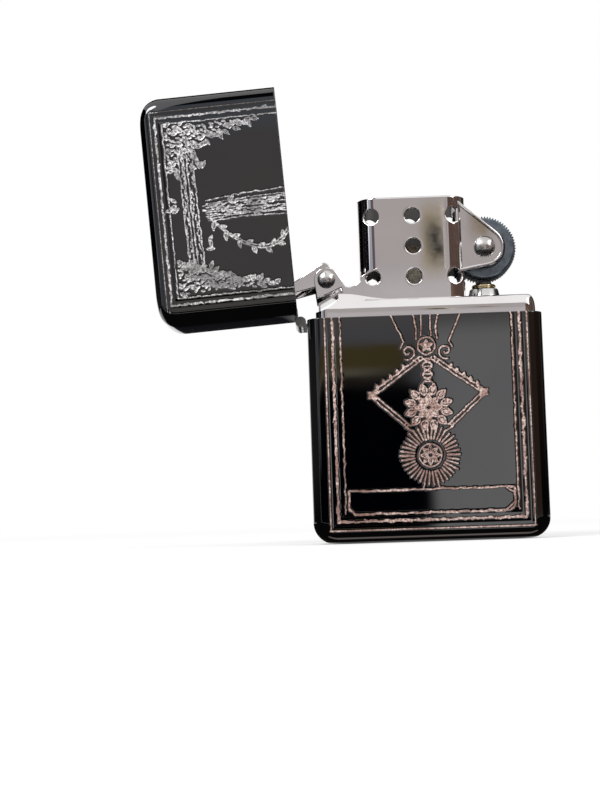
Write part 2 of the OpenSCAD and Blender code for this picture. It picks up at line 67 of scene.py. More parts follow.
CASE_HIGH = node_box("case_shell")[1]
DECK_LOW, DECK_HIGH = node_box("insert_deck")
CHIMNEY_HIGH = node_box("chimney")[1]
CAM_HEAD_LOW, CAM_HEAD_HIGH = node_box("cam_rivet")
WHEEL_LOW, WHEEL_HIGH = node_box("flint_wheel")
AXLE_LOW, AXLE_HIGH = node_box("wheel_rivet")
TUBE_LOW, TUBE_HIGH = node_box("flint_tube")
COLLAR_LOW, COLLAR_HIGH = node_box("flint_tube_collar")
WICK_LOW, WICK_HIGH = node_box("wick")
PIN_LOW, PIN_HIGH = node_box("hinge_pin")

HALF_W = CASE_HIGH[0]
HALF_D = CASE_HIGH[1]
RIM_Z = CASE_HIGH[2]
CLOSED_H = 57.2
MOUTH_Z = RIM_Z + 0.2
LID_ANGLE = 94
SIDE_R = 2.4
END_R = 3.4
EDGE_R = 1.6
WALL = 0.6
SHEET = 0.5
CASE_NOTCH_Z = 34.1
LID_NOTCH_Z = 35.9
PIN_AT = (PIN_LOW + PIN_HIGH) / 2

DECK_TOP = DECK_HIGH[2]
DECK_R = 1.0
DECK_RISE = 2.1
DECK_SIDE_R = 1.8
CHIMNEY_X0 = DECK_LOW[0] + 7.15
CHIMNEY_X1 = CHIMNEY_X0 + 17.1
CHIMNEY_X = (CHIMNEY_X0 + CHIMNEY_X1) / 2
CHIMNEY_HALF_D = CHIMNEY_HIGH[1]
CHIMNEY_TOP = CHIMNEY_HIGH[2]
CHIMNEY_R = 3.2
HOLE_R = 1.175
HOLE_PITCH = 6.5
HOLE_LOW = DECK_TOP + 3.4
HOLE_HIGH = CHIMNEY_TOP - 3.0
CAM_AT = ((CAM_HEAD_LOW + CAM_HEAD_HIGH) / 2)[[0, 2]]
AXLE_AT = ((AXLE_LOW + AXLE_HIGH) / 2)[[0, 2]]
BRACKET_Y = 3.5
BRACKET_R = 3.1
SWOOP_AT = (CAM_AT[0] - 2.1, CAM_AT[1] - 0.3)
SWOOP_R = 4.85


# ---------------------------------------------------------------- mesh helpers


def add_to_scene(name, data):
    """An object in the scene that holds a mesh, a curve, a lamp or a camera."""
    obj = bpy.data.objects.new(name, data)
    bpy.context.scene.collection.objects.link(obj)
    return obj


def add_piece(name, verts, faces, material, sharp_degrees, body, slot, node, **marks):
    """A piece from points in millimetres, smooth but for edges steeper than the angle.

    It rides on its body and stands for its CAD node; the slot is not used. Each mark gives every point a
    number that the materials read.
    """
    mesh = bpy.data.meshes.new(name)
    mesh.from_pydata((np.asarray(verts, dtype=float) * MM).tolist(), [], faces)
    mesh.validate()
    mesh.polygons.foreach_set("use_smooth", np.ones(len(mesh.polygons), dtype=bool))
    mesh.set_sharp_from_angle(angle=math.radians(sharp_degrees))
    mesh.update()
    mesh.materials.append(material)
    for key, values in marks.items():
        layer = mesh.attributes.new(key, "FLOAT", "POINT")
        layer.data.foreach_set("value", np.asarray(values, dtype=np.float32))
    obj = add_to_scene(name, mesh)
    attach(obj, body)
    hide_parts(node)
    return obj


class Build:
    """Points and faces of one piece, gathered from several solids."""

    def __init__(self):
        self.verts = []
        self.faces = []

    def add(self, verts, faces):
        start = len(self.verts)
        self.verts.extend([tuple(v) for v in verts])
        self.faces.extend([tuple(start + i for i in f) for f in faces])


def flipped(faces):
    """The same faces, seen from the other side."""
    return [tuple(reversed(f)) for f in faces]


def turns(steps):
    """Angles that share out a full turn."""
    return [2 * math.pi * i / steps for i in range(steps)]


def ring_faces(rings, steps, closed=False):
    """Quads between rings of points; closed joins the last ring to the first."""
    faces = []
    for k in range(rings if closed else rings - 1):
        a, b = k * steps, (k + 1) % rings * steps
        for i in range(steps):
            j = (i + 1) % steps
            faces.append((a + i, a + j, b + j, b + i))
    return faces


def caps(rings, steps):
    """Faces over the first and the last ring."""
    last = (rings - 1) * steps
    return [tuple(range(steps - 1, -1, -1)), tuple(range(last, last + steps))]


def lathe(profile, steps=64, closed=False):
    """A solid round the Z axis from (radius, height) pairs, capped, or with its last ring on its first."""
    verts = [(r * math.cos(a), r * math.sin(a), height) for r, height in profile for a in turns(steps)]
    faces = ring_faces(len(profile), steps, closed)
    return np.array(verts), faces if closed else faces + caps(len(profile), steps)


def along_y(verts, at, side):
    """Turns a solid made round +Z so that it points out along side * Y, at (x, y, z)."""
    v = np.asarray(verts)
    if side < 0:
        return np.column_stack([v[:, 0] + at[0], at[1] - v[:, 2], v[:, 1] + at[2]])
    return np.column_stack([v[:, 0] + at[0], at[1] + v[:, 2], -v[:, 1] + at[2]])


def arc(middle, r, a0, a1, steps=24):
    """Points on an arc, from angle a0 to angle a1 in degrees."""
    angles = np.radians(np.linspace(a0, a1, steps + 1))
    return [(middle[0] + r * math.cos(a), middle[1] + r * math.sin(a)) for a in angles]


def circle(middle, r, steps=48):
    """Points on a circle; the first isn't repeated."""
    return arc(middle, r, 0, 360, steps)[:-1]


def tangent_angle(point, r, side):
    """Angle in degrees at which a line from the point touches a circle round the origin."""
    return math.degrees(math.atan2(point[1], point[0]) + side * math.acos(r / math.hypot(*point)))


def cubic(t, p0, p1, p2, p3):
    """A point on a cubic curve with these four control points."""
    return (1 - t) ** 3 * p0 + 3 * (1 - t) ** 2 * t * p1 + 3 * (1 - t) * t ** 2 * p2 + t ** 3 * p3


def plate(rings, ya, yb, edge):
    """Points and faces of a plate between two depths, its outline and holes drawn in X and Z."""
    y0, y1 = sorted((ya, yb))
    curve = bpy.data.curves.new("plate", "CURVE")
    curve.dimensions = "2D"
    curve.fill_mode = "BOTH"
    curve.extrude = (y1 - y0) / 2 - edge
    curve.bevel_depth = edge
    curve.bevel_resolution = 2
    curve.offset = -edge
    for ring in rings:
        spline = curve.splines.new("POLY")
        spline.points.add(len(ring) - 1)
        for point, (x, z) in zip(spline.points, ring):
            point.co = (x, z, 0, 1)
        spline.use_cyclic_u = True
    obj = add_to_scene("plate", curve)
    depsgraph = bpy.context.evaluated_depsgraph_get()
    mesh = bpy.data.meshes.new_from_object(obj.evaluated_get(depsgraph))
    middle = (y0 + y1) / 2
    verts = [(v.co.x, middle - v.co.z, v.co.y) for v in mesh.vertices]
    faces = [tuple(p.vertices) for p in mesh.polygons]
    bpy.data.objects.remove(obj)
    bpy.data.curves.remove(curve)
    bpy.data.meshes.remove(mesh)
    return verts, faces


# ---------------------------------------------------------------- engraving

PITCH = 0.05
SOFT = 0.06
CUT_DEPTH = 0.08


class Relief:
    """A height map of engraved strokes over the front face, in X and height."""

    def __init__(self, z0, z1):
        self.x0 = -HALF_W
        self.z0 = z0
        self.xs = np.arange(self.x0, HALF_W + PITCH, PITCH)
        self.zs = np.arange(z0, z1 + PITCH, PITCH)
        self.cut = np.zeros((len(self.zs), len(self.xs)))

    def segment(self, a, b, wa, wb):
        """A straight stroke between two points, wa wide at the first and wb at the second."""
        reach = max(wa, wb) / 2 + SOFT + PITCH
        window = []
        for axis, start, count in ((0, self.x0, len(self.xs)), (1, self.z0, len(self.zs))):
            first = max(int((min(a[axis], b[axis]) - reach - start) / PITCH), 0)
            last = min(int((max(a[axis], b[axis]) + reach - start) / PITCH) + 2, count)
            if first >= last:
                return
            window.append(slice(first, last))
        x, z = np.meshgrid(self.xs[window[0]], self.zs[window[1]])
        dx, dz = b[0] - a[0], b[1] - a[1]
        length2 = max(dx * dx + dz * dz, 1e-9)
        t = np.clip(((x - a[0]) * dx + (z - a[1]) * dz) / length2, 0, 1)
        d = np.hypot(x - a[0] - t * dx, z - a[1] - t * dz)
        v = np.clip(((wa + (wb - wa) * t) / 2 + SOFT - d) / SOFT, 0, 1)
        part = self.cut[window[1], window[0]]
        np.maximum(part, v, out=part)

    def line(self, points, width, wobble=0.0, uneven=0.0):
        """A stroke through the points; wobble moves it and uneven varies its width."""
        pts = np.asarray(points, dtype=float)
        if wobble or uneven:
            pts = resample(pts, 0.55)
        offsets = RNG.normal(0, 1, pts.shape) * wobble
        widths = width * (1 + uneven * RNG.uniform(-1, 1, len(pts)))
        pts = pts + offsets
        for i in range(len(pts) - 1):
            self.segment(pts[i], pts[i + 1], widths[i], widths[i + 1])

    def loop(self, points, width, wobble=0.0, uneven=0.0):
        """A stroke through the points and back to the first."""
        self.line(list(points) + [points[0]], width, wobble, uneven)

    def at(self, x, z):
        """The cut at each point, from 0 to 1, read between the map's cells."""
        u = np.clip((x - self.x0) / PITCH, 0, len(self.xs) - 1.001)
        w = np.clip((z - self.z0) / PITCH, 0, len(self.zs) - 1.001)
        i, k = u.astype(int), w.astype(int)
        fu, fw = u - i, w - k
        c = self.cut
        low = c[k, i] * (1 - fu) + c[k, i + 1] * fu
        high = c[k + 1, i] * (1 - fu) + c[k + 1, i + 1] * fu
        return low * (1 - fw) + high * fw


def resample(points, step):
    """The same polyline with points about a step apart."""
    out = [points[0]]
    for a, b in zip(points[:-1], points[1:]):
        n = max(int(np.hypot(*(b - a)) / step), 1)
        for i in range(1, n + 1):
            out.append(a + (b - a) * i / n)
    return np.array(out)


def polar(middle, r, degrees):
    """The point at a radius and an angle from a middle."""
    a = math.radians(degrees)
    return (middle[0] + r * math.cos(a), middle[1] + r * math.sin(a))


def directions(degrees):
    """Unit vectors along a direction and across it."""
    a = math.radians(degrees)
    return np.array([math.cos(a), math.sin(a)]), np.array([-math.sin(a), math.cos(a)])


LEAF_SKEW = 0.8


def leaf(relief, base, degrees, length, width, line):
    """An almond outline with a midrib."""
    along, across = directions(degrees)
    t = np.linspace(0, 1, 7)
    bulge = np.sin(math.pi * t ** LEAF_SKEW) * width / 2
    for side in (-1, 1):
        pts = [np.array(base) + along * length * u + across * side * b for u, b in zip(t, bulge)]
        relief.line(pts, line)
    relief.line([base, np.array(base) + along * length * 0.7], line * 0.7)


def blade(relief, base, degrees, length, width):
    """A filled almond."""
    along, _ = directions(degrees)
    t = np.linspace(0, 1, 6)
    w = width * np.sin(math.pi * t ** LEAF_SKEW)
    pts = [base + along * length * u for u in t]
    for i in range(len(t) - 1):
        relief.segment(pts[i], pts[i + 1], w[i], w[i + 1])


def rails(relief, a, b, half, *stroke):
    """Two parallel strokes; gives back their ends' middles and the directions along and across."""
    a, b = np.array(a, dtype=float), np.array(b, dtype=float)
    along = (b - a) / np.hypot(*(b - a))
    across = np.array([-along[1], along[0]])
    for side in (-1, 1):
        relief.line([a + side * half * across, b + side * half * across], *stroke)
    return a, b, along, across


def rod(relief, a, b, half, line):
    """Two thin rails with a few cross ticks, between two points."""
    a, b, _, across = rails(relief, a, b, half, line, 0.03, 0.25)
    for t in (0.04, 0.1, 0.9, 0.96):
        p = a + (b - a) * t
        relief.line([p - half * across, p + half * across], line)


def bark(relief, a, b, half):
    """A stem of broken grain between two points."""
    a, b, along, across = rails(relief, a, b, half, 0.14, 0.06, 0.6)
    for p in resample(np.array([a, b]), 0.42):
        start = p + RNG.uniform(-0.8, 0.8) * half * across
        relief.line([start, start + along * 0.4 + across * RNG.uniform(-0.16, 0.16)], 0.13)


# The border's three lines: x from its middle, height h above the closed end and width w; shift moves
# them across, and the first few, closed in number, are drawn round the end in one stroke
CASE_BORDER = {"x": (15.7, 14.5, 13.3), "h": (2.05, 3.4, 4.6), "shift": 0.0, "closed": 2,
               "w": (0.1, 0.26, 0.12)}
LID_BORDER = {"x": (15.9, 14.95, 13.9), "h": (1.75, 2.5, 3.6), "shift": -0.2, "closed": 3,
              "w": (0.03, 0.2, 0.1)}
BORDER_WOBBLE = (0.0, 0.05, 0.05)
BORDER_UNEVEN = (0.05, 0.6, 0.6)
FLUTE_DEPTH = 0.07


def border(relief, end_z, up, mouth_z, sizes):
    """U-shaped lines round the face, open at the mouth; up is 1 where the mouth is above."""
    shift = sizes["shift"]
    rows = zip(sizes["x"], sizes["h"], sizes["w"], BORDER_WOBBLE, BORDER_UNEVEN)
    for k, (x, h, w, wobble, uneven) in enumerate(rows):
        z = end_z + up * h
        left, right = shift - x, shift + x
        if k < sizes["closed"]:
            relief.line([(left, mouth_z), (left, z), (right, z), (right, mouth_z)], w, wobble, uneven)
        else:
            relief.line([(left, mouth_z), (left, z)], w, wobble, uneven)
            relief.line([(right, mouth_z), (right, z)], w, wobble, uneven)
    # The middle line is a rope: a second, broken strand crosses it
    left, right = shift - sizes["x"][1], shift + sizes["x"][1]
    z = end_z + up * sizes["h"][1]
    for a, b in (((left, mouth_z), (left, z)), ((left, z), (right, z)), ((right, z), (right, mouth_z))):
        pts = resample(np.array([a, b], dtype=float), 0.8)
        for p, q in zip(pts[:-1], pts[1:]):
            if RNG.uniform() < 0.6:
                relief.line([p + RNG.normal(0, 0.12, 2), q + RNG.normal(0, 0.12, 2)], 0.12)


def flutes(x, h, sizes):
    """Shallow channels between the border's lines, at a point x across and h above the closed end."""
    xs, hs = sizes["x"], sizes["h"]
    scale = (hs[1] - hs[0]) / (xs[0] - xs[1])
    f = np.maximum(np.abs(x - sizes["shift"]), xs[0] - (h - hs[0]) / scale)
    depth = np.zeros_like(f)
    for outer, inner in zip(xs[:-1], xs[1:]):
        t = (f - inner) / (outer - inner)
        depth = np.where((t > 0) & (t < 1), FLUTE_DEPTH * 4 * t * (1 - t), depth)
    return depth


SUN_RAYS = 38
SUN_RING = (2.55, 4.55)


def sunburst(relief, middle):
    """A ring of rays round a small flower."""
    for i in range(SUN_RAYS):
        degrees = i * 360 / SUN_RAYS
        r0 = SUN_RING[0] + RNG.uniform(-0.1, 0.1)
        r1 = SUN_RING[1] + RNG.uniform(-0.25, 0.15)
        relief.line([polar(middle, r0, degrees), polar(middle, r1, degrees)], 0.2, 0.02, 0.35)
    relief.loop(circle(middle, 1.75, 30), 0.17, 0.02, 0.3)
    for i in range(8):
        leaf(relief, polar(middle, 0.35, i * 45), i * 45, 1.2, 0.62, 0.1)


def rosette(relief, middle):
    """Two rings of petals, hatched towards their tips."""
    for count, r, length, width, turn in ((12, 2.0, 1.75, 1.1, 15), (8, 0.5, 1.6, 1.0, 0)):
        for i in range(count):
            degrees = i * 360 / count + turn
            base = polar(middle, r, degrees)
            leaf(relief, base, degrees, length, width, 0.15)
            for step in (-9, 9):
                inner = polar(middle, r + length * 0.35, degrees + step / (r + 0.5))
                outer = polar(middle, r + length * 0.8, degrees + step / (r + 1))
                relief.line([inner, outer], 0.13)
    relief.loop(circle(middle, 0.4, 12), 0.14)


def scroll(relief, middle, r, side, line):
    """A spiral that opens away from the middle line."""
    pts = [polar(middle, r * (1 - t * 0.8), 90 + side * (200 - 430 * t)) for t in np.linspace(0, 1, 22)]
    relief.line(pts, line, 0.015, 0.25)


# Strokes on both sides of the middle line: points, then width, wobble and unevenness
CASE_STROKES = (
    (((4.0, 30.0), (3.5, 31.0), (5.4, 35.2)), (0.13, 0.03, 0.3)),
    (((1.6, 31.4), (1.5, 33.0), (1.9, 35.2)), (0.14, 0.03, 0.3)),
    (((0.75, 31.9), (0.7, 35.2)), (0.12, 0.03, 0.3)),
    (((1.0, 9.0), (1.3, 8.1)), (0.14, 0.03)),
    (((2.3, 16.9), (3.7, 17.7)), (0.15, 0.03)),
)
SUN_AT = (0.0, 13.3)
ROSETTE_AT = (0.0, 20.7)
MEDALLION_AT = (0.0, 30.3)


def case_ornament(relief):
    """Sunburst, rosette in a closed diamond of rods and a twisted stem, all of it plain pattern."""
    sunburst(relief, SUN_AT)
    rosette(relief, ROSETTE_AT)
    for side in (-1, 1):
        rod(relief, (side * 0.95, 28.4), (side * 8.6, 22.95), 0.28, 0.15)
        rod(relief, (side * 8.6, 22.75), (side * 3.1, 17.75), 0.28, 0.15)
        for degrees in (35, -35, 145, 215):
            leaf(relief, (side * 8.6, 22.85), degrees, 0.75, 0.5, 0.12)
        for k in range(5):
            base = (side * (3.5 + k * 1.05), 26.67 - k * 0.73)
            leaf(relief, base, 90 - side * 10 + RNG.uniform(-14, 14), 0.8, 0.4, 0.11)
        scroll(relief, (side * 2.9, 29.4), 1.25, side, 0.16)
        for points, stroke in CASE_STROKES:
            relief.line([(side * x, z) for x, z in points], *stroke)
        twist = np.linspace(0, 1, 24)
        pts = [(side * 0.75 * math.cos(3 * math.pi * u), 24.4 + 4.2 * u) for u in twist]
        relief.line(pts, 0.15, 0.01, 0.25)
    for k in range(7):
        relief.line([(-0.55, 24.7 + 0.6 * k), (0.55, 24.7 + 0.6 * k)], 0.11, 0.02)
    relief.loop(circle(MEDALLION_AT, 1.35, 24), 0.15, 0.03, 0.3)
    for i in range(5):
        leaf(relief, MEDALLION_AT, 90 + 72 * i, 1.0, 0.5, 0.1)


TITLE_X = 12.75
TITLE_Z = (4.5, 8.1)
TITLE_CUT = 0.8


def title_plate(relief):
    """The framed strip at the foot; it is left blank."""
    x, (z0, z1), c = TITLE_X, TITLE_Z, TITLE_CUT
    corners = [(-x, z1), (x, z1), (x, z0 + c), (x - c, z0), (-x + c, z0), (-x, z0 + c)]
    relief.loop(corners, 0.22, 0.05, 0.5)
    relief.line([(x - 1.5 * c, z1 - 0.2), (x - 0.2, z1 - c)], 0.16, 0.03)
    relief.line([(x - 1.6 * c, z0 + 0.1), (x - 0.1, z0 + 1.6 * c)], 0.16, 0.03)


LEAF_PITCH = 0.72


def vine(relief, control, line):
    """A curved stem with leaves on alternate sides, along a cubic curve."""
    pts = cubic(np.linspace(0, 1, 40)[:, None], *(np.array(p, dtype=float) for p in control))
    relief.line(pts, line, 0.03, 0.3)
    relief.line(pts + np.array((0.42, 0.1)), line * 0.8, 0.03, 0.3)
    for k, i in enumerate(range(3, 37, 3)):
        run = pts[i + 1] - pts[i]
        side = 1 if k % 2 else -1
        degrees = math.degrees(math.atan2(run[1], run[0])) + side * 48
        leaf(relief, pts[i], degrees, RNG.uniform(1.0, 1.35), RNG.uniform(0.5, 0.65), 0.12)


def foliage(relief, corner, side, reach, depth):
    """Leaves that fill a triangle from a corner: reach towards the mouth and depth along the end."""
    for row, down in enumerate(np.arange(0, reach, LEAF_PITCH * 0.8)):
        width = depth * (1 - down / reach) ** 1.3 + 0.3
        for across in np.arange((row % 2) * LEAF_PITCH / 2, width, LEAF_PITCH):
            shift = RNG.uniform(-0.14, 0.14, 2)
            base = np.array((corner[0] - side * across, corner[1] - down)) + shift
            degrees = 270 + side * RNG.uniform(-75, 35)
            if RNG.uniform() < 0.3 or across > width - LEAF_PITCH:
                leaf(relief, base, degrees, RNG.uniform(1.0, 1.4), RNG.uniform(0.5, 0.65), 0.1)
            else:
                blade(relief, base, degrees, RNG.uniform(0.65, 0.95), RNG.uniform(0.26, 0.36))


def lid_ornament(relief):
    """Foliage in both corners, a leafy double stem along the end and a vine down the middle."""
    bark(relief, (-9.6, 50.9), (9.6, 51.2), 0.36)
    bark(relief, (-9.6, 49.5), (9.2, 49.8), 0.5)
    foliage(relief, (13.2, 53.3), 1, 14.5, 5.6)
    foliage(relief, (-13.3, 53.3), -1, 16.0, 5.0)
    for x, z, count in ((6.6, 48.2, 6), (6.4, 52.4, 4), (-5.9, 48.3, 3), (0.6, 52.6, 5)):
        for _ in range(count):
            base = (x + RNG.uniform(-0.9, 0.9), z + RNG.uniform(-0.8, 0.8))
            leaf(relief, base, RNG.uniform(0, 360), RNG.uniform(0.9, 1.4), 0.5, 0.08)
    for x0, x1, w in ((0.9, 1.75, 0.1), (0.3, 0.9, 0.09), (-2.0, -1.8, 0.09), (-2.4, -2.4, 0.1)):
        relief.line([(x0, 47.8), ((x0 + x1) / 2 + 0.25, 41.2), (x1, MOUTH_Z)], w, 0.06, 0.4)
    bark(relief, (-0.3, 48.4), (0.2, MOUTH_Z), 0.4)
    bark(relief, (-1.3, 48.0), (-1.2, MOUTH_Z), 0.34)
    for k in range(8):
        base = (-0.6 + RNG.uniform(-1.4, 1.4), 47.0 - k * 1.3)
        leaf(relief, base, 270 + RNG.uniform(-50, 50), 1.2, 0.5, 0.08)
    vine(relief, ((-1.8, 47.6), (-5.5, 44.8), (-10.4, 38.8), (-5.2, MOUTH_Z)), 0.14)


def case_relief():
    """All that is cut into the case's front."""
    relief = Relief(0.0, RIM_Z)
    border(relief, 0.0, 1, RIM_Z, CASE_BORDER)
    case_ornament(relief)
    title_plate(relief)
    return relief


def lid_relief():
    """All that is cut into the lid's front."""
    relief = Relief(MOUTH_Z, CLOSED_H)
    border(relief, CLOSED_H, -1, MOUTH_Z, LID_BORDER)
    lid_ornament(relief)
    return relief


# ---------------------------------------------------------------- case and lid

FRONT_COLUMNS = 256
ROW_STEP = 0.125
CORNER_STEPS = 10
BACK_COLUMNS = 8
FOOT_STEPS = 10
INNER_FOOT_STEPS = 5
FRONT_BAND = 0.5
FLUTE_FADE = 0.3
RIM_ROUND = ((0.0, 0.09), (0.025, 0.03), (0.09, 0.0))


def shell_contour(hw, hd, r):
    """Points round the plan, counter-clockwise from the front-left; hw and hd are half sizes."""
    x, y = hw - r, hd - r
    pts = [(u * x, -hd) for u in np.linspace(-1, 1, FRONT_COLUMNS + 1)]
    pts += arc((x, -y), r, -90, 0, CORNER_STEPS)[1:]
    pts += [(hw, 0.0)]
    pts += arc((x, y), r, 0, 90, CORNER_STEPS)
    pts += [(u * x, hd) for u in np.linspace(1, -1, BACK_COLUMNS + 1)[1:-1]]
    pts += arc((-x, y), r, 90, 180, CORNER_STEPS)
    pts += [(-hw, 0.0)]
    pts += arc((-x, -y), r, 180, 270, CORNER_STEPS)[:-1]
    return np.array(pts)


def inset(radius, h):
    """How far a rounded corner draws the wall in, h above the closed end."""
    if h >= radius:
        return 0.0
    return radius - math.sqrt(max(radius ** 2 - (radius - h) ** 2, 0))


def shell_ring(h, thickness):
    """The outer contour at h above the closed end, or the inner one drawn in by the wall."""
    up = h - thickness
    hw = HALF_W - thickness - inset(END_R - thickness, up)
    hd = HALF_D - thickness - inset(EDGE_R - thickness, up)
    return shell_contour(hw, hd, SIDE_R - thickness)


def shell_rows(height, notch):
    """Heights of the outer rows, the inner rows and, in both, the rows beside the hinge's notch."""
    foot = [EDGE_R - EDGE_R * math.cos(a) for a in np.linspace(0, math.pi / 2, FOOT_STEPS + 1)]
    body = list(np.arange(EDGE_R + ROW_STEP, notch - ROW_STEP / 2, ROW_STEP))
    inner_r = EDGE_R - WALL
    inner_turns = np.linspace(0, math.pi / 2, INNER_FOOT_STEPS + 1)
    inner_foot = [WALL + inner_r - inner_r * math.cos(a) for a in inner_turns]
    inner_body = list(np.linspace(WALL + inner_r, notch, 8)[1:-1])
    side = [notch] + list(np.arange(notch + ROW_STEP, height - 0.2, ROW_STEP))
    return foot + body, inner_foot + inner_body, side


def drawn_shell(height, notch, relief_at):
    """Points, faces and cut of an open shell whose closed end is at 0 and whose mouth is at height."""
    outer_rows, inner_rows, side_rows = shell_rows(height, notch)
    heights = outer_rows + side_rows
    rings = [shell_ring(h, 0) for h in heights]
    notch_row, outer_count = len(outer_rows), len(rings)
    rim = [(d, height - drop) for d, drop in RIM_ROUND]
    rim += [(WALL - d, height - drop) for d, drop in reversed(RIM_ROUND)]
    rings += [shell_contour(HALF_W - d, HALF_D - d, SIDE_R - d) for d, _ in rim]
    inside = (inner_rows + side_rows)[::-1]
    rings += [shell_ring(h, WALL) for h in inside]
    heights = heights + [h for _, h in rim] + inside
    rows, n = len(rings), len(rings[0])
    xy = np.concatenate(rings)
    verts = np.column_stack([xy, np.repeat(np.array(heights), n)])
    # The engraving reaches the second ring of the rim's rounding
    outside = np.arange(len(verts)) < (outer_count + 2) * n
    front = outside & (verts[:, 1] < -HALF_D + FRONT_BAND)
    cut = np.zeros(len(verts))
    cut[front], channel = relief_at(verts[front, 0], verts[front, 2])
    fade = np.clip((verts[front, 2] - EDGE_R) / FLUTE_FADE, 0, 1)
    verts[front, 1] += np.maximum(cut[front] * CUT_DEPTH, channel * fade)
    left = np.where((np.abs(xy[:n, 0] + (HALF_W - inset(END_R, 0))) < 1e-6))[0]
    first, last = left.min(), left.max()
    inner_notch_row = rows - 1 - len(inner_rows)
    faces = []
    for face in ring_faces(rows, n):
        k, i = divmod(face[0], n)
        if not (notch_row <= k < inner_notch_row and first <= i < last):
            faces.append(face)
    faces += caps(rows, n)
    for i in range(first, last):
        a, b = notch_row * n + i, inner_notch_row * n + i
        faces.append((a, a + 1, b + 1, b))
    for column, flip in ((first, False), (last, True)):
        lower = [k * n + column for k in range(notch_row, inner_notch_row + 1)]
        faces += notch_side(lower, flip)
    return verts, faces, cut


def notch_side(loop, flip):
    """Closes one side of the notch: its loop runs up the outer face, over the rim and down inside."""
    faces = []
    low, high = 0, len(loop) - 1
    while high - low > 1:
        quad = [loop[low], loop[low + 1], loop[high - 1], loop[high]]
        if high - low == 2:
            quad = [loop[low], loop[low + 1], loop[high]]
        faces.append(tuple(quad) if flip else tuple(reversed(quad)))
        low += 1
        high -= 1
    return faces


def make_case(material):
    """The case, engraved on its front."""
    relief = case_relief()

    def relief_at(x, z):
        return relief.at(x, z), flutes(x, z, CASE_BORDER)

    verts, faces, cut = drawn_shell(RIM_Z, CASE_NOTCH_Z, relief_at)
    add_piece("case_body", verts, faces, material, 50, "root", "case_black", "case_shell", cut=cut)


def swung_open(verts):
    """Turns points drawn with the lid shut about the hinge pin to where the lid rests."""
    a = math.radians(LID_ANGLE)
    x = verts[:, 0] - PIN_AT[0]
    z = verts[:, 2] - PIN_AT[2]
    return np.column_stack([
        PIN_AT[0] + x * math.cos(a) - z * math.sin(a),
        verts[:, 1],
        PIN_AT[2] + x * math.sin(a) + z * math.cos(a),
    ])


def make_lid(material):
    """The lid, drawn shut with its closed end up and then swung open."""
    relief = lid_relief()

    def relief_at(x, h):
        return relief.at(x, CLOSED_H - h), flutes(x, h, LID_BORDER)

    height = CLOSED_H - MOUTH_Z
    verts, faces, cut = drawn_shell(height, CLOSED_H - LID_NOTCH_Z, relief_at)
    verts[:, 2] = CLOSED_H - verts[:, 2]
    add_piece("lid_body", swung_open(verts), flipped(faces), material, 50,
              "lid", "case_black", "lid_shell", cut=cut)


# ---------------------------------------------------------------- deck

INSERT_X = (DECK_LOW[0] + DECK_HIGH[0]) / 2
INSERT_HALF_W = (DECK_HIGH[0] - DECK_LOW[0]) / 2
INSERT_HALF_D = DECK_HIGH[1]


def swoop_z(x):
    """Height of the hollow's surface under the ear."""
    run = x - SWOOP_AT[0]
    if abs(run) >= SWOOP_R:
        return 1e3
    return SWOOP_AT[1] - math.sqrt(SWOOP_R ** 2 - run ** 2)


DECK_ARC = 14
DECK_ROWS = 5
EDGE_ROWS = 9
BESIDE_HOLLOW = 16


def half_contour(d, flat_xs):
    """The plan's front half, left to right, drawn in by d."""
    hw, hd, r = INSERT_HALF_W - d, INSERT_HALF_D - d, DECK_SIDE_R - d
    x, y = hw - r, hd - r
    pts = [(-hw, -y * t) for t in (0.0, 0.5)]
    pts += arc((-x, -y), r, 180, 270, DECK_ARC)
    pts += [(u - INSERT_X, -hd) for u in flat_xs]
    pts += arc((x, -y), r, -90, 0, DECK_ARC)
    pts += [(hw, -y * t) for t in (0.5, 0.0)]
    return [(px + INSERT_X, py) for px, py in pts]


def deck_sheet(thickness, cut_x):
    """Rows of the deck's sheet, each a front half contour with its own heights."""
    top = DECK_TOP - thickness
    r, rise = DECK_R - thickness, DECK_RISE - thickness
    flat_left = INSERT_X - INSERT_HALF_W + DECK_SIDE_R
    flat_xs = list(np.linspace(flat_left + 0.12, cut_x, BESIDE_HOLLOW))
    flat_xs += list(np.linspace(cut_x, 15.4, 24))[1:]
    base = half_contour(thickness, flat_xs)
    rows = []
    for t in np.linspace(0, 1, DECK_ROWS):
        row = []
        for px, py in base:
            height = min(top - rise, swoop_z(px))
            row.append((px, py, DECK_LOW[2] + (height - DECK_LOW[2]) * t))
        rows.append(row)
    for t in np.linspace(0, 1, EDGE_ROWS)[1:]:
        row = []
        for i, (px, py) in enumerate(base):
            limit = swoop_z(px)
            share = np.clip((limit - (top - rise)) / rise, 0, 1)
            angle = math.asin(share) * t
            d = thickness + r * (1 - math.cos(angle))
            qx, qy = half_contour(d, flat_xs)[i]
            row.append((qx, qy, min(top - rise, limit) + rise * math.sin(angle)))
        rows.append(row)
    return np.array(rows)


class DeckSkin:
    """Faces over both sheets of the deck; a corner is its sheet, row, column and side, -1 in front."""

    def __init__(self, sheets):
        self.sheets = sheets
        self.ends = (0, sheets[0].shape[1] - 1)
        self.verts = []
        self.faces = []
        self.index = {}

    def number(self, s, k, i, side):
        """A corner's point; the two sides share the points in the middle plane."""
        side = -1 if i in self.ends else side
        key = (s, k, i, side)
        if key not in self.index:
            x, y, z = self.sheets[s][k, i]
            self.index[key] = len(self.verts)
            self.verts.append((x, y if side < 0 else -y, z))
        return self.index[key]

    def face(self, flip, *corners):
        """One face; flip turns it over."""
        ids = list(dict.fromkeys(self.number(*c) for c in corners))
        self.faces.append(tuple(reversed(ids)) if flip else tuple(ids))

    def strip(self, flip, a, side_a, b, side_b, columns):
        """Faces between two rows, each given as its sheet and row."""
        for i in columns:
            self.face(flip, (*a, i, side_a), (*a, i + 1, side_a), (*b, i + 1, side_b), (*b, i, side_b))


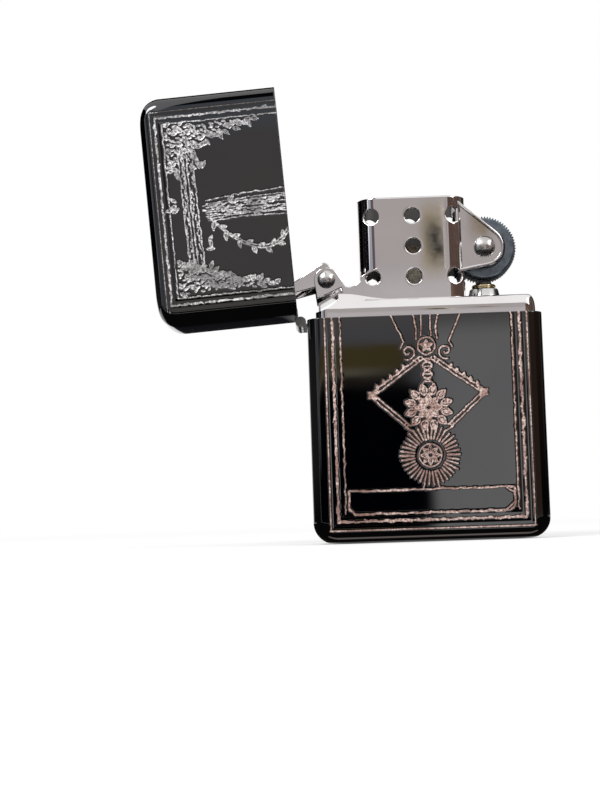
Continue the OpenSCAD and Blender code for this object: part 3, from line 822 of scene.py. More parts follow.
def make_deck(material):
    """The insert's top, open at the left where the hollow under the cam is cut."""
    sheets = []
    for thickness in (0.0, SHEET):
        drop = SWOOP_AT[1] - (DECK_TOP - thickness)
        sheets.append(deck_sheet(thickness, SWOOP_AT[0] + math.sqrt(SWOOP_R ** 2 - drop ** 2)))
    skin = DeckSkin(sheets)
    top, n = sheets[0].shape[0] - 1, sheets[0].shape[1]
    # The first column to the right of the hollow: two on the left side, the arc and the cut flat
    first_open = 2 + DECK_ARC + 1 + BESIDE_HOLLOW - 1
    for s in (0, 1):
        for side in (-1, 1):
            flip = (side > 0) != (s == 1)
            for k in range(top):
                skin.strip(flip, (s, k), side, (s, k + 1), side, range(n - 1))
        skin.strip(s == 1, (s, top), -1, (s, top), 1, range(first_open, n - 1))
    for side in (-1, 1):
        for i in range(n - 1):
            skin.face(side > 0, (0, 0, i, side), (1, 0, i, side), (1, 0, i + 1, side), (0, 0, i + 1, side))
        skin.strip(side > 0, (0, top), side, (1, top), side, range(first_open))
    skin.face(False, *((s, top, first_open, side) for s, side in ((0, -1), (0, 1), (1, 1), (1, -1))))
    build = Build()
    build.add(skin.verts, skin.faces)
    for side in (-1, 1):
        build.add(*shoulder(side))
    add_piece("deck_body", build.verts, build.faces, material, 30, "root", "insert_chrome", "insert_deck")


SHOULDER_H = 1.15
SHOULDER_STEPS = 8


def shoulder(side):
    """The sheet's sweep from the deck's rounded edge up into the ear's plate."""
    plate_y = CHIMNEY_HALF_D
    edge_y = INSERT_HALF_D - DECK_R
    xs = np.linspace(CAM_AT[0] + 1.8, CHIMNEY_X0 + CHIMNEY_R + 1.6, 36)
    verts = []
    for x in xs:
        u = np.clip((xs[-1] - x) / (xs[-1] - xs[0]), 0, 1)
        size = SHOULDER_H * (3 * u ** 2 - 2 * u ** 3) + 1e-3
        a = math.radians(90 - 45 * min(size, 1))
        p0 = np.array([edge_y + DECK_R * math.cos(a), DECK_TOP - DECK_RISE + DECK_RISE * math.sin(a)])
        tangent = np.array([-DECK_R * math.sin(a), DECK_RISE * math.cos(a)])
        tangent /= np.hypot(*tangent)
        p3 = np.array([plate_y, DECK_TOP + size])
        p1 = p0 + tangent * 0.4 * size
        p2 = p3 - np.array([0, 0.5 * size])
        for t in np.linspace(0, 1, SHOULDER_STEPS + 1):
            y, z = cubic(t, p0, p1, p2, p3)
            verts.append((x, side * y, z))
        for z in (DECK_TOP + size, DECK_TOP - DECK_R / 2):
            verts.append((x, side * (plate_y - 0.2), z))
    m = SHOULDER_STEPS + 3
    faces = ring_faces(len(xs), m) + caps(len(xs), m)
    return verts, flipped(faces) if side < 0 else faces


# ---------------------------------------------------------------- chimney

FLAT_X = CHIMNEY_X1 - CHIMNEY_X0 - 2 * CHIMNEY_R
FLAT_Y = 2 * (CHIMNEY_HALF_D - CHIMNEY_R)
QUARTER = math.pi / 2 * CHIMNEY_R
# Where each run of the wall starts, measured round it from the middle of the left side
RUN = np.cumsum([0, FLAT_Y / 2, QUARTER, FLAT_X, QUARTER, FLAT_Y, QUARTER, FLAT_X, QUARTER, FLAT_Y / 2])
RIM_SOFT = 0.2
RIM_SINK = 0.16


def wall_point(s):
    """Plan point and outward normal at a distance s round the chimney."""
    cx0, cx1 = CHIMNEY_X0 + CHIMNEY_R, CHIMNEY_X1 - CHIMNEY_R
    cy = FLAT_Y / 2
    k = int(np.clip(np.searchsorted(RUN, s, side="right") - 1, 0, 8))
    t = s - RUN[k]
    # Each flat run: where it starts and the direction it takes
    flats = {0: (CHIMNEY_X0, 0, 0, -1), 2: (cx0, -CHIMNEY_HALF_D, 1, 0), 4: (CHIMNEY_X1, -cy, 0, 1),
             6: (cx1, CHIMNEY_HALF_D, -1, 0), 8: (CHIMNEY_X0, cy, 0, -1)}
    if k in flats:
        x, y, dx, dy = flats[k]
        return (x + t * dx, y + t * dy), (dy, -dx)
    # Each corner: its middle and the quarter turn it starts at
    x, y, quarter = {1: (cx0, -cy, 2), 3: (cx1, -cy, 3), 5: (cx1, cy, 0), 7: (cx0, cy, 1)}[k]
    a = quarter * math.pi / 2 + t / CHIMNEY_R
    normal = (math.cos(a), math.sin(a))
    return (x + CHIMNEY_R * normal[0], y + CHIMNEY_R * normal[1]), normal


def wall_distance(x, side):
    """Distance round the chimney to the point x on its front (side -1) or back."""
    cx0, cx1 = CHIMNEY_X0 + CHIMNEY_R, CHIMNEY_X1 - CHIMNEY_R
    if x < cx0:
        s = RUN[2] - CHIMNEY_R * math.asin((cx0 - x) / CHIMNEY_R)
    elif x > cx1:
        s = RUN[3] + CHIMNEY_R * math.asin((x - cx1) / CHIMNEY_R)
    else:
        s = RUN[2] + x - cx0
    return s if side < 0 else RUN[-1] - s


def hole_places():
    """Middles of the seven air holes of one wall."""
    middle = (HOLE_LOW + HOLE_HIGH) / 2
    places = [(CHIMNEY_X + side * HOLE_PITCH, z) for side in (-1, 1) for z in (HOLE_LOW, HOLE_HIGH)]
    return places + [(CHIMNEY_X, z) for z in (HOLE_LOW, middle, HOLE_HIGH)]


def rounding(distance):
    """How far a pressed rim turns in, at a distance from its edge."""
    t = np.clip(distance / RIM_SOFT, 0, 1)
    return RIM_SINK * (1 - math.sqrt(1 - (1 - t) ** 2))


WALL_ROW = 0.8
FLAT_COLUMN = 0.6
CORNER_COLUMN = 0.2
RIM_ROWS = (0.3, 0.2, 0.12, 0.05, 0.0)
HOLE_RINGS = (0.0, 0.03, 0.07, 0.12, 0.2, 0.42)
HOLE_SIDES = 40


def wall_grid(slot_s, slot_top, holes):
    """Points over the unrolled sheet, clear of its holes, in columns and rows."""
    columns = []
    for k in range(9):
        step = CORNER_COLUMN if k % 2 else FLAT_COLUMN
        count = max(int((RUN[k + 1] - RUN[k]) / step), 2)
        columns += list(np.linspace(RUN[k], RUN[k + 1], count + 1)[:-1])
    z0, z1 = DECK_TOP - 0.3, CHIMNEY_TOP
    rows = [z0, slot_top] + [z1 - d for d in RIM_ROWS]
    rows += list(np.arange(z0 + WALL_ROW, z1 - 0.6, WALL_ROW))
    places = [(s, z) for s in sorted(columns + [RUN[-1], *slot_s]) for z in sorted(rows)]
    return [p for p in places if clear_of_holes(*p, holes)]


def chimney_wall():
    """The perforated wall: one sheet unrolled, cut, curled in at its rims and rolled up again."""
    slot_y = BRACKET_Y - SHEET
    slot_s = RUN[3] + CHIMNEY_R * math.acos((slot_y - FLAT_Y / 2) / CHIMNEY_R)
    slot_s = (slot_s, RUN[5] + RUN[4] - slot_s)
    slot_top = AXLE_AT[1] + (WHEEL_HIGH[2] - WHEEL_LOW[2]) / 2 + 0.5
    holes = [(x, z, side) for x, z in hole_places() for side in (-1, 1)]
    points = wall_grid(slot_s, slot_top, holes)
    edges = []
    for x, z, side in holes:
        for ring in HOLE_RINGS:
            start, r = len(points), HOLE_R + ring
            for a in turns(HOLE_SIDES):
                points.append((wall_distance(x + r * math.cos(a), side), z + r * math.sin(a)))
            if ring == 0.0:
                edges += [(start + i, start + (i + 1) % HOLE_SIDES) for i in range(HOLE_SIDES)]
    result = delaunay_2d_cdt([Vector(p) for p in points], edges, [], 0, 1e-5)
    flat = [tuple(v) for v in result[0]]
    kept = []
    for tri in result[2]:
        s, z = (sum(flat[i][axis] for i in tri) / 3 for axis in (0, 1))
        in_slot = slot_s[0] < s < slot_s[1] and z < slot_top
        if not in_slot and not inside_hole(s, z, holes):
            kept.append(tuple(tri))
    return roll_up(flat, kept, holes)


def hole_distance(s, z, hole):
    """Distance from a hole's middle, measured in its own flat view."""
    (x, y), _ = wall_point(s)
    if (y < 0) != (hole[2] < 0):
        return 1e3
    return math.hypot(x - hole[0], z - hole[1])


def clear_of_holes(s, z, holes):
    return all(hole_distance(s, z, hole) > HOLE_R + 0.5 for hole in holes)


def inside_hole(s, z, holes):
    return any(hole_distance(s, z, hole) < HOLE_R for hole in holes)


def roll_up(flat, tris, holes):
    """Outer and inner skins of the unrolled sheet, joined along every free edge."""
    length = RUN[-1]
    seam = {round(z, 4): i for i, (s, z) in enumerate(flat) if s < 1e-4}
    swap = {i: seam[round(z, 4)] for i, (s, z) in enumerate(flat) if s > length - 1e-4}
    tris = [tuple(swap.get(i, i) for i in tri) for tri in tris]
    used = sorted({i for tri in tris for i in tri})
    number = {old: new for new, old in enumerate(used)}
    outer, inner = [], []
    for i in used:
        s, z = flat[i]
        (x, y), (nx, ny) = wall_point(s)
        near = min(hole_distance(s, z, hole) for hole in holes) - HOLE_R
        sink = max(rounding(max(near, 0)), rounding(max(CHIMNEY_TOP - z, 0)) * 0.8)
        outer.append((x - nx * sink, y - ny * sink, z))
        deep = SHEET - (0.1 if sink > 0.05 else 0.0)
        inner.append((x - nx * deep, y - ny * deep, z))
    tris = [tuple(number[i] for i in tri) for tri in tris]
    n = len(outer)
    faces = list(tris) + [tuple(n + i for i in reversed(tri)) for tri in tris]
    edges = dict.fromkeys(edge for a, b, c in tris for edge in ((a, b), (b, c), (c, a)))
    faces += [(b, a, n + a, n + b) for a, b in edges if (b, a) not in edges]
    return outer + inner, faces, [0.0] * n + [1.0] * n


EAR_R = 1.95
BRACKET_ENDS = (-80, 49)
RIVET_HOLE_R = 0.8
AXLE_HOLE_R = 0.9
SKIM = 0.004
RIM_H = 0.35


def ear_outline():
    """The ear round the cam's rivet, the valley beside it and the web below, seen from the front."""
    cx, cz = CAM_AT
    tip, edge, neck = (-1.57, -2.97), (0.44, -2.16), (2.3, -1.3)
    valley = arc((3.6, 0.7), EAR_R, -108, -8, 20)
    tip_a, start_a = tangent_angle(tip, EAR_R, -1), tangent_angle(valley[0], EAR_R, 1)
    swoop_middle = (SWOOP_AT[0] - cx, SWOOP_AT[1] - cz)
    # The hollow's curve from the neck down to the deck
    neck_a = math.degrees(math.acos((neck[0] + 0.15 - swoop_middle[0]) / SWOOP_R))
    foot = DECK_TOP - 0.6 - cz
    foot_a = math.degrees(math.asin((foot - swoop_middle[1]) / SWOOP_R))
    hollow = arc(swoop_middle, SWOOP_R, foot_a, -neck_a, 14)
    web_x = CHIMNEY_X0 + CHIMNEY_R + 1.0 - cx
    web_top = valley[-1][1] + 1.9
    pts = [tip, edge, neck] + hollow[::-1]
    pts += [(web_x, foot), (web_x, web_top)]
    pts += valley[::-1]
    pts += arc((0, 0), EAR_R, start_a, tip_a + 360, 36)
    return [(x + cx, z + cz) for x, z in pts]


def bracket_outline(inner):
    """The wheel's bracket, drawn in by inner along its free edges."""
    r = BRACKET_R - inner
    x_in = CHIMNEY_X1 - CHIMNEY_R / 2 + inner
    ring = arc(AXLE_AT, r, *BRACKET_ENDS, 36)
    for degrees in reversed(BRACKET_ENDS):
        x, z = polar(AXLE_AT, r, degrees)
        ring.append((x_in, z + (x - x_in) / math.tan(math.radians(degrees))))
    return ring


def make_chimney(material):
    """The wall, the two ears beside the cam and the wheel's bracket with its raised rims."""
    build = Build()
    verts, faces, stain = chimney_wall()
    build.add(verts, faces)
    web_hole = circle((CHIMNEY_X - HOLE_PITCH, HOLE_LOW), HOLE_R)
    ear = [ear_outline(), circle(CAM_AT, RIVET_HOLE_R), web_hole]
    bracket = [bracket_outline(0), circle(AXLE_AT, AXLE_HOLE_R)]
    rim = [bracket_outline(0.03), bracket_outline(0.5)]
    for side in (-1, 1):
        build.add(*plate(ear, side * (CHIMNEY_HALF_D - SKIM), side * (CHIMNEY_HALF_D - SHEET), 0.12))
        build.add(*plate(bracket, side * BRACKET_Y, side * (BRACKET_Y - SHEET), 0.05))
        build.add(*plate(rim, side * (BRACKET_Y + RIM_H), side * (BRACKET_Y - 0.1), 0.16))
    stain += [0.0] * (len(build.verts) - len(stain))
    add_piece("chimney_body", build.verts, build.faces, material, 32,
              "root", "insert_chrome", "chimney", stain=stain)


# ---------------------------------------------------------------- cam, rivets and wheel


CAM_R = 1.6
CAM_HOLE_R = 0.85


def cam_outline():
    """The cam's side plate, seen from the front."""
    under, shoulder_at = (-1.9, -1.05), (0.75, 2.1)
    pts = [(-0.35, 2.85), (-0.75, 2.62), (-5.3, -0.2), (-5.55, -0.45), (-5.75, -0.9), (-5.2, -1.85), under]
    under_a, end_a = tangent_angle(under, CAM_R, 1), tangent_angle(shoulder_at, CAM_R, -1)
    pts += arc((0, 0), CAM_R, under_a - 360, end_a, 24)
    pts += [shoulder_at, (0.05, 2.8)]
    return [(x + CAM_AT[0], z + CAM_AT[1]) for x, z in pts]


def make_cam(material):
    """A folded sheet: two side plates and the bent strip along their upper edge."""
    build = Build()
    half = CHIMNEY_HALF_D - SHEET - 0.2
    hole = circle(CAM_AT, CAM_HOLE_R)
    for side in (-1, 1):
        build.add(*plate([cam_outline(), hole], side * half, side * (half - SHEET), 0.12))
    corner, arm = (-0.4, 2.81), (-5.28, -0.21)
    strip = [corner, arm, (arm[0] + 0.2, arm[1] - 0.5), (corner[0] + 0.1, corner[1] - 0.6)]
    strip = [(x + CAM_AT[0], z + CAM_AT[1]) for x, z in strip]
    build.add(*plate([strip], -half + 0.3, half - 0.3, 0.05))
    add_piece("cam_body", build.verts, build.faces, material, 35, "cam", "spring_steel", "cam")


def dome_profile(d, h):
    """A rivet head that stands on a short straight foot."""
    foot = h * 0.16
    rise = h - foot
    sphere = (d * d / 4 + rise * rise) / (2 * rise)
    top_a = math.asin(min(d / 2 / sphere, 1))
    rings = [(d / 2 - 0.06, -0.3), (d / 2 - 0.06, 0.0), (d / 2, 0.02), (d / 2, foot * 0.7)]
    for a in np.linspace(top_a, 0.02, 16):
        rings.append((sphere * math.sin(a), foot + rise - sphere + sphere * math.cos(a)))
    return rings


def make_rivet(node, low, high, y, shank_r, material):
    """A shank with a domed head at both ends, which stand on the faces at y and -y."""
    build = Build()
    x, _, z = (low + high) / 2
    verts, faces = lathe([(shank_r, -y + 0.1), (shank_r, y - 0.1)], 32)
    build.add(along_y(verts, (x, 0, z), 1), flipped(faces))
    for side in (-1, 1):
        verts, faces = lathe(dome_profile(high[0] - low[0], high[1] - y))
        build.add(along_y(verts, (x, side * y, z), side), faces if side < 0 else flipped(faces))
    add_piece(node + "_body", build.verts, build.faces, material, 40, "root", "insert_chrome", node)


TEETH = 70
TOOTH_H = 0.38
TOOTH_SHAPE = (0.0, 0.25, 0.6, 0.95, 1.0, 0.8, 0.35, 0.05)
TOOTH_SLANT = 0.008


def make_wheel(material):
    """A cut wheel: slanted teeth between two bevelled, smooth sides."""
    half = WHEEL_HIGH[1]
    radius = (WHEEL_HIGH[0] - WHEEL_LOW[0]) / 2
    toothed = half - 0.4
    side_r = radius - 0.42
    shape = np.array(TOOTH_SHAPE * TEETH)
    steps = len(shape)
    profile = [(0.95, -half), (2.3, -half), (2.42, -half + 0.16), (3.2, -half + 0.16), (3.35, -half),
               (side_r - 0.15, -half), (side_r, -half + 0.12), (side_r, -toothed)]
    plain = len(profile)
    profile += [(None, y) for y in np.linspace(-toothed, toothed, 13)]
    profile += [(r, -y) for r, y in reversed(profile[:plain])]
    verts = []
    for r, y in profile:
        for i, turn in enumerate(turns(steps)):
            ring_r = r
            if r is None:
                edge = min(1.0, (toothed - abs(y)) / 0.3 + 0.55)
                ring_r = radius - TOOTH_H + TOOTH_H * edge * shape[i]
            a = turn + (TOOTH_SLANT * y if r is None else 0.0)
            verts.append((ring_r * math.cos(a), ring_r * math.sin(a), y))
    placed = along_y(np.array(verts), (AXLE_AT[0], 0, AXLE_AT[1]), -1)
    faces = ring_faces(len(profile), steps, closed=True)
    stain = np.repeat([float(r is None) for r, _ in profile], steps)
    add_piece("wheel_body", placed, faces, material, 25, "wheel", "wheel_steel", "flint_wheel", stain=stain)


TUBE_R = 1.68
TUBE_BORE = 1.33
BEAD_W = 0.25
BEAD_H = 0.33


def make_tube(material, collar_material):
    """Brass tube with a rolled rim, and the steel collar it is pressed into."""
    axis = np.array([AXLE_AT[0], 0, 0])
    z0, z1 = TUBE_LOW[2], TUBE_HIGH[2]
    profile = [(TUBE_BORE, z0), (TUBE_R, z0), (TUBE_R, COLLAR_HIGH[2] - 0.02)]
    for a in np.radians(np.linspace(-90, 90, 13)):
        profile.append((TUBE_R + BEAD_W * math.cos(a), z1 - 0.35 + BEAD_H * math.sin(a)))
    profile += [(1.45, z1), (TUBE_BORE, z1 - 0.1)]
    verts, faces = lathe(profile, closed=True)
    add_piece("tube_body", verts + axis, faces, material, 40, "root", "brass", "flint_tube")
    low, high = COLLAR_LOW[2], COLLAR_HIGH[2]
    r, bore = (COLLAR_HIGH[0] - COLLAR_LOW[0]) / 2, TUBE_R + 0.02
    profile = [(bore, low), (r, low), (r, low + 0.3), (r - 0.06, low + 0.38), (r - 0.3, high - 0.18),
               (r - 0.42, high - 0.04), (r - 0.55, high), (bore, high)]
    verts, faces = lathe(profile, closed=True)
    add_piece("collar_body", verts + axis, faces, collar_material, 40,
              "root", "spring_steel", "flint_tube_collar")


COIL_WIRE_R = 0.15
COIL_TURNS = 12
COIL_STEPS = 32 * COIL_TURNS
WIRE_SIDES = 10


def make_coil(material):
    """The flint's coil spring, its turns spread evenly between the ends of the CAD spring."""
    low, high = node_box("flint_spring")
    coil_r = (high[0] - low[0]) / 2 - COIL_WIRE_R
    z0, z1 = low[2] + COIL_WIRE_R, high[2] - COIL_WIRE_R
    verts = []
    for i in range(COIL_STEPS + 1):
        turn = 2 * math.pi * COIL_TURNS * i / COIL_STEPS
        z = z0 + (z1 - z0) * i / COIL_STEPS
        for b in turns(WIRE_SIDES):
            ring = coil_r + COIL_WIRE_R * math.cos(b)
            x, y = ring * math.cos(turn), ring * math.sin(turn)
            verts.append((AXLE_AT[0] + x, y, z + COIL_WIRE_R * math.sin(b)))
    faces = caps(COIL_STEPS + 1, WIRE_SIDES) + ring_faces(COIL_STEPS + 1, WIRE_SIDES)
    obj = add_piece("coil_body", verts, flipped(faces), material, 60,
                    "root", "spring_steel", "flint_spring")
    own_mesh(obj)


WICK_COLUMNS = 96
WICK_ROWS = 150
PLAIT_H = 0.14
STRANDS = 6
PLAIT_PITCH = 4.2
FRAY = 1.2


def make_wick(material):
    """A plaited cord: crossing strands swell its surface, and its top is frayed."""
    x = (WICK_LOW[0] + WICK_HIGH[0]) / 2
    r = (WICK_HIGH[0] - WICK_LOW[0]) / 2
    z0, z1 = WICK_LOW[2], WICK_HIGH[2]
    tufts = RNG.uniform(0, 1, WICK_COLUMNS)
    verts = []
    for k in range(WICK_ROWS + 1):
        z = z0 + (z1 - z0) * k / WICK_ROWS
        near_top = max(0.0, 1 - (z1 - z) / FRAY)
        for a, tuft in zip(turns(WICK_COLUMNS), tufts):
            plait = max(math.sin(STRANDS * a + way * PLAIT_PITCH * z) for way in (1, -1))
            ring = r - PLAIT_H + PLAIT_H * plait - 0.25 * near_top * tuft
            verts.append((x + ring * math.cos(a), ring * math.sin(a), z - 0.35 * near_top * tuft))
    faces = ring_faces(WICK_ROWS + 1, WICK_COLUMNS)
    faces += caps(WICK_ROWS + 1, WICK_COLUMNS)[:1]
    top = WICK_ROWS * WICK_COLUMNS
    verts.append((x, 0, z1 - 0.25))
    for i in range(WICK_COLUMNS):
        faces.append((top + i, top + (i + 1) % WICK_COLUMNS, len(verts) - 1))
    add_piece("wick_body", verts, faces, material, 60, "root", "wick_fibre", "wick")


# ---------------------------------------------------------------- materials


def feed(tree, node, inputs):
    """Sets a node's inputs, each to a value, a colour or another node's output."""
    for key, value in inputs.items():
        socket = node.inputs[key]
        if isinstance(value, bpy.types.NodeSocket):
            tree.links.new(value, socket)
        else:
            socket.default_value = (*value, 1) if isinstance(value, tuple) else value


def add_node(tree, kind, inputs=None, **settings):
    """A shader node with its settings and its inputs fed."""
    node = tree.nodes.new("ShaderNode" + kind)
    for name, value in settings.items():
        setattr(node, name, value)
    feed(tree, node, inputs or {})
    return node


def new_material(name):
    """A material, its node tree and its Principled shader."""
    material = bpy.data.materials.new(name)
    material.use_nodes = True
    tree = material.node_tree
    return material, tree, tree.nodes["Principled BSDF"]


def maths(tree, operation, *values):
    return add_node(tree, "Math", dict(enumerate(values)), operation=operation).outputs[0]


def mark(tree, name):
    """The number that a piece's points are marked with."""
    return add_node(tree, "Attribute", attribute_name=name).outputs["Fac"]


def noise(tree, scale, detail=3.0, rough=0.55):
    """Noise in the object's own coordinates; scale is in cycles a metre."""
    place = add_node(tree, "TexCoord").outputs["Object"]
    inputs = {"Vector": place, "Scale": scale, "Detail": detail, "Roughness": rough}
    return add_node(tree, "TexNoise", inputs).outputs["Fac"]


def spread(tree, value, low, high, from_low=0.3, from_high=0.7):
    """Maps a value's range to another."""
    inputs = {"Value": value, "From Min": from_low, "From Max": from_high, "To Min": low, "To Max": high}
    return add_node(tree, "MapRange", inputs).outputs["Result"]


def mix(tree, factor, a, b, kind="RGBA"):
    """Mixes two colours, or two numbers where kind is VALUE."""
    data_type = "RGBA" if kind == "RGBA" else "FLOAT"
    node = add_node(tree, "Mix", {"Factor": factor}, data_type=data_type)
    numbers = [i for i, s in enumerate(node.inputs) if s.name in ("A", "B") and s.type == kind]
    feed(tree, node, dict(zip(numbers, (a, b))))
    return next(s for s in node.outputs if s.type == kind)


def mix_shaders(tree, factor, a, b):
    """The second shader shows where the factor is 1."""
    inputs = {"Fac": factor, 1: a.outputs[0], 2: b.outputs[0]}
    return add_node(tree, "MixShader", inputs).outputs[0]


def bump(tree, height, strength, distance):
    inputs = {"Strength": strength, "Distance": distance, "Height": height}
    return add_node(tree, "Bump", inputs).outputs["Normal"]


STAIN_ROUGH = 0.5
CUT_ROUGH = 0.3
CUT_METALLIC = 0.45
PLATING = ((0.094, 0.094, 0.098), (0.106, 0.105, 0.105))
BURNT_LENGTH = 3


def metal(name, dark, light, rough, grain=900, bump_height=0.0, stain=None):
    """A worn metal whose colour and roughness drift a little; the stain colours what is marked for it."""
    material, tree, bsdf = new_material(name)
    colour = mix(tree, spread(tree, noise(tree, grain), 0, 1), dark, light)
    shine = spread(tree, noise(tree, grain * 6, 2.0), *rough)
    if stain:
        marked = mark(tree, "stain")
        colour = mix(tree, marked, colour, stain)
        shine = mix(tree, marked, shine, STAIN_ROUGH, "VALUE")
    feed(tree, bsdf, {"Base Color": colour, "Roughness": shine, "Metallic": 1.0})
    if bump_height:
        feed(tree, bsdf, {"Normal": bump(tree, noise(tree, grain * 4), 0.5, bump_height)})
    return material


def black_shell(name, cut_dark, cut_glint):
    """Black mirror plating, cut through to a pale metal where the points are marked; noise patches the cut
    metal's colour from a dull tone up to painted glints.
    """
    material, tree, bsdf = new_material(name)
    cut = spread(tree, mark(tree, "cut"), 0, 1, 0.2, 0.7)
    fine = spread(tree, noise(tree, 2400, 4.0, 0.7), 0, 1, 0.42, 0.58)
    broad = spread(tree, noise(tree, 260, 2.0), 0.25, 1, 0.38, 0.56)
    # Painted glints: two noises patch the cut metal's colour from its dull tone up to a near-white painted
    # glint
    glinting_cut = mix(tree, maths(tree, "MULTIPLY", fine, broad), cut_dark, cut_glint)
    plating = mix(tree, spread(tree, noise(tree, 60, 2.0), 0, 1), *PLATING)
    mirror = spread(tree, noise(tree, 90, 3.0), 0.025, 0.06)
    feed(tree, bsdf, {
        "Base Color": mix(tree, cut, plating, glinting_cut),
        "Metallic": spread(tree, cut, 1.0, CUT_METALLIC, 0, 1),
        "Roughness": mix(tree, cut, mirror, CUT_ROUGH, "VALUE"),
    })
    return material


def fibre(name, dark, light, scale, tip=None, tip_z=0.0):
    """Rough fibres, darker towards a burnt tip where one is given."""
    material, tree, bsdf = new_material(name)
    colour = mix(tree, spread(tree, noise(tree, scale, 4.0, 0.7), 0, 1), dark, light)
    if tip:
        place = add_node(tree, "SeparateXYZ", {0: add_node(tree, "TexCoord").outputs["Object"]})
        burnt = spread(tree, place.outputs["Z"], 0, 1, (tip_z - BURNT_LENGTH) * MM, tip_z * MM)
        colour = mix(tree, burnt, colour, tip)
    normal = bump(tree, noise(tree, scale * 2, 3.0), 0.6, 0.0001)
    feed(tree, bsdf, {"Base Color": colour, "Roughness": 0.95, "Sheen Weight": 0.3, "Normal": normal})
    return material


CHROME = ((0.80, 0.77, 0.77), (0.86, 0.83, 0.83), (0.03, 0.07), 120)
SOOT = (0.11, 0.105, 0.10)
DARK_STEEL = (0.035, 0.042, 0.05)
BURNT = (0.16, 0.11, 0.07)


def make_materials():
    return {
        # Each shell's second colour is its cut metal's painted glint, the first its dull tone
        "case": black_shell("case_black", (0.30, 0.165, 0.135), (1.0, 0.80, 0.73)),
        "lid": black_shell("lid_black", (0.19, 0.18, 0.185), (1.0, 0.98, 0.98)),
        "chrome": metal("insert_chrome", *CHROME),
        "chimney": metal("chimney_chrome", *CHROME, stain=SOOT),
        "hinge": metal("hinge_steel", (0.10, 0.10, 0.11), (0.24, 0.23, 0.23), (0.12, 0.22), 500),
        "spring": metal("spring_steel", (0.58, 0.56, 0.56), (0.72, 0.70, 0.70), (0.1, 0.2), 400),
        "rivet": metal("rivet_steel", (0.50, 0.48, 0.47), (0.74, 0.71, 0.70), (0.2, 0.3), 500),
        "wheel": metal("wheel_steel", (0.12, 0.145, 0.175), (0.22, 0.255, 0.29), (0.3, 0.5),
                       bump_height=0.00002, stain=DARK_STEEL),
        "brass": metal("brass", (0.62, 0.50, 0.28), (0.80, 0.68, 0.42), (0.12, 0.28), 700),
        "flint": metal("flint_alloy", (0.20, 0.19, 0.18), (0.36, 0.34, 0.32), (0.5, 0.8), 2500),
        "copper": metal("copper", (0.68, 0.36, 0.24), (0.86, 0.50, 0.36), (0.2, 0.35)),
        "wick": fibre("wick_fibre", (0.50, 0.42, 0.32), (0.80, 0.73, 0.62), 2500, BURNT, WICK_HIGH[2]),
        "cotton": fibre("cotton", (0.72, 0.70, 0.66), (0.90, 0.89, 0.86), 900),
        "felt": fibre("felt", (0.62, 0.60, 0.55), (0.80, 0.78, 0.73), 1600),
    }


CARRIED = {
    "hinge": ("hinge_pin", "case_hinge_leaf", "lid_hinge_leaf"),
    "chrome": ("insert_tank",),
    "spring": ("cam_spring", "cam_spring_rivets"),
    "flint": ("flint",),
    "brass": ("flint_spring_tip", "flint_screw"),
    "copper": ("wick_wire",),
    "cotton": ("cotton_packing",),
    "felt": ("felt_pad",),
}


def dress_carried(materials):
    """Gives each CAD node that stays its procedural material, on the object's own slots."""
    for key, nodes in CARRIED.items():
        for node in nodes:
            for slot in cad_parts[node].material_slots:
                slot.link = "OBJECT"
                slot.material = materials[key]


# ---------------------------------------------------------------- studio


def card_material(name, colour, soft):
    """A glowing card whose glow fades out towards its edges."""
    material, tree, _ = new_material(name)
    tree.nodes.clear()
    place = add_node(tree, "SeparateXYZ", {0: add_node(tree, "TexCoord").outputs["UV"]})
    edges = []
    for axis, width in zip("XY", soft):
        edges.append(spread(tree, maths(tree, "ABSOLUTE", place.outputs[axis]), 1, 0, 1 - width, 1))
    glow = add_node(tree, "Emission", {"Color": colour})
    shown = mix_shaders(tree, maths(tree, "MULTIPLY", *edges), add_node(tree, "BsdfTransparent"), glow)
    add_node(tree, "OutputMaterial", {"Surface": shown})
    return material


SQUARE = ((-1, -1), (1, -1), (1, 1), (-1, 1))


def square(name, points):
    """A mesh of one face over four points in metres."""
    mesh = bpy.data.meshes.new(name)
    mesh.from_pydata(points, [], [(0, 1, 2, 3)])
    return mesh


def card(name, middle, size, facing, colour, soft, lean=0.0):
    """A studio card seen only in reflections; size is across and up, and lean shifts its top across."""
    across, up, slide = size[0] / 2 * MM, size[1] / 2 * MM, lean / 2 * MM
    mesh = square(name, [(u * across + v * slide, v * up, 0) for u, v in SQUARE])
    for loop, corner in zip(mesh.uv_layers.new(name="spread").data, SQUARE):
        loop.uv = corner
    obj = add_to_scene(name, mesh)
    upright = Matrix.Rotation(math.pi / 2, 4, "X")
    turn = {"Y": upright, "X": Matrix.Rotation(math.pi / 2, 4, "Z") @ upright, "Z": Matrix.Identity(4)}
    obj.matrix_world = Matrix.Translation(Vector(middle) * MM) @ turn[facing]
    mesh.materials.append(card_material(name, colour, soft))
    obj.visible_camera = False
    obj.visible_diffuse = False
    obj.visible_shadow = False
    obj.visible_transmission = False


BACK = -240
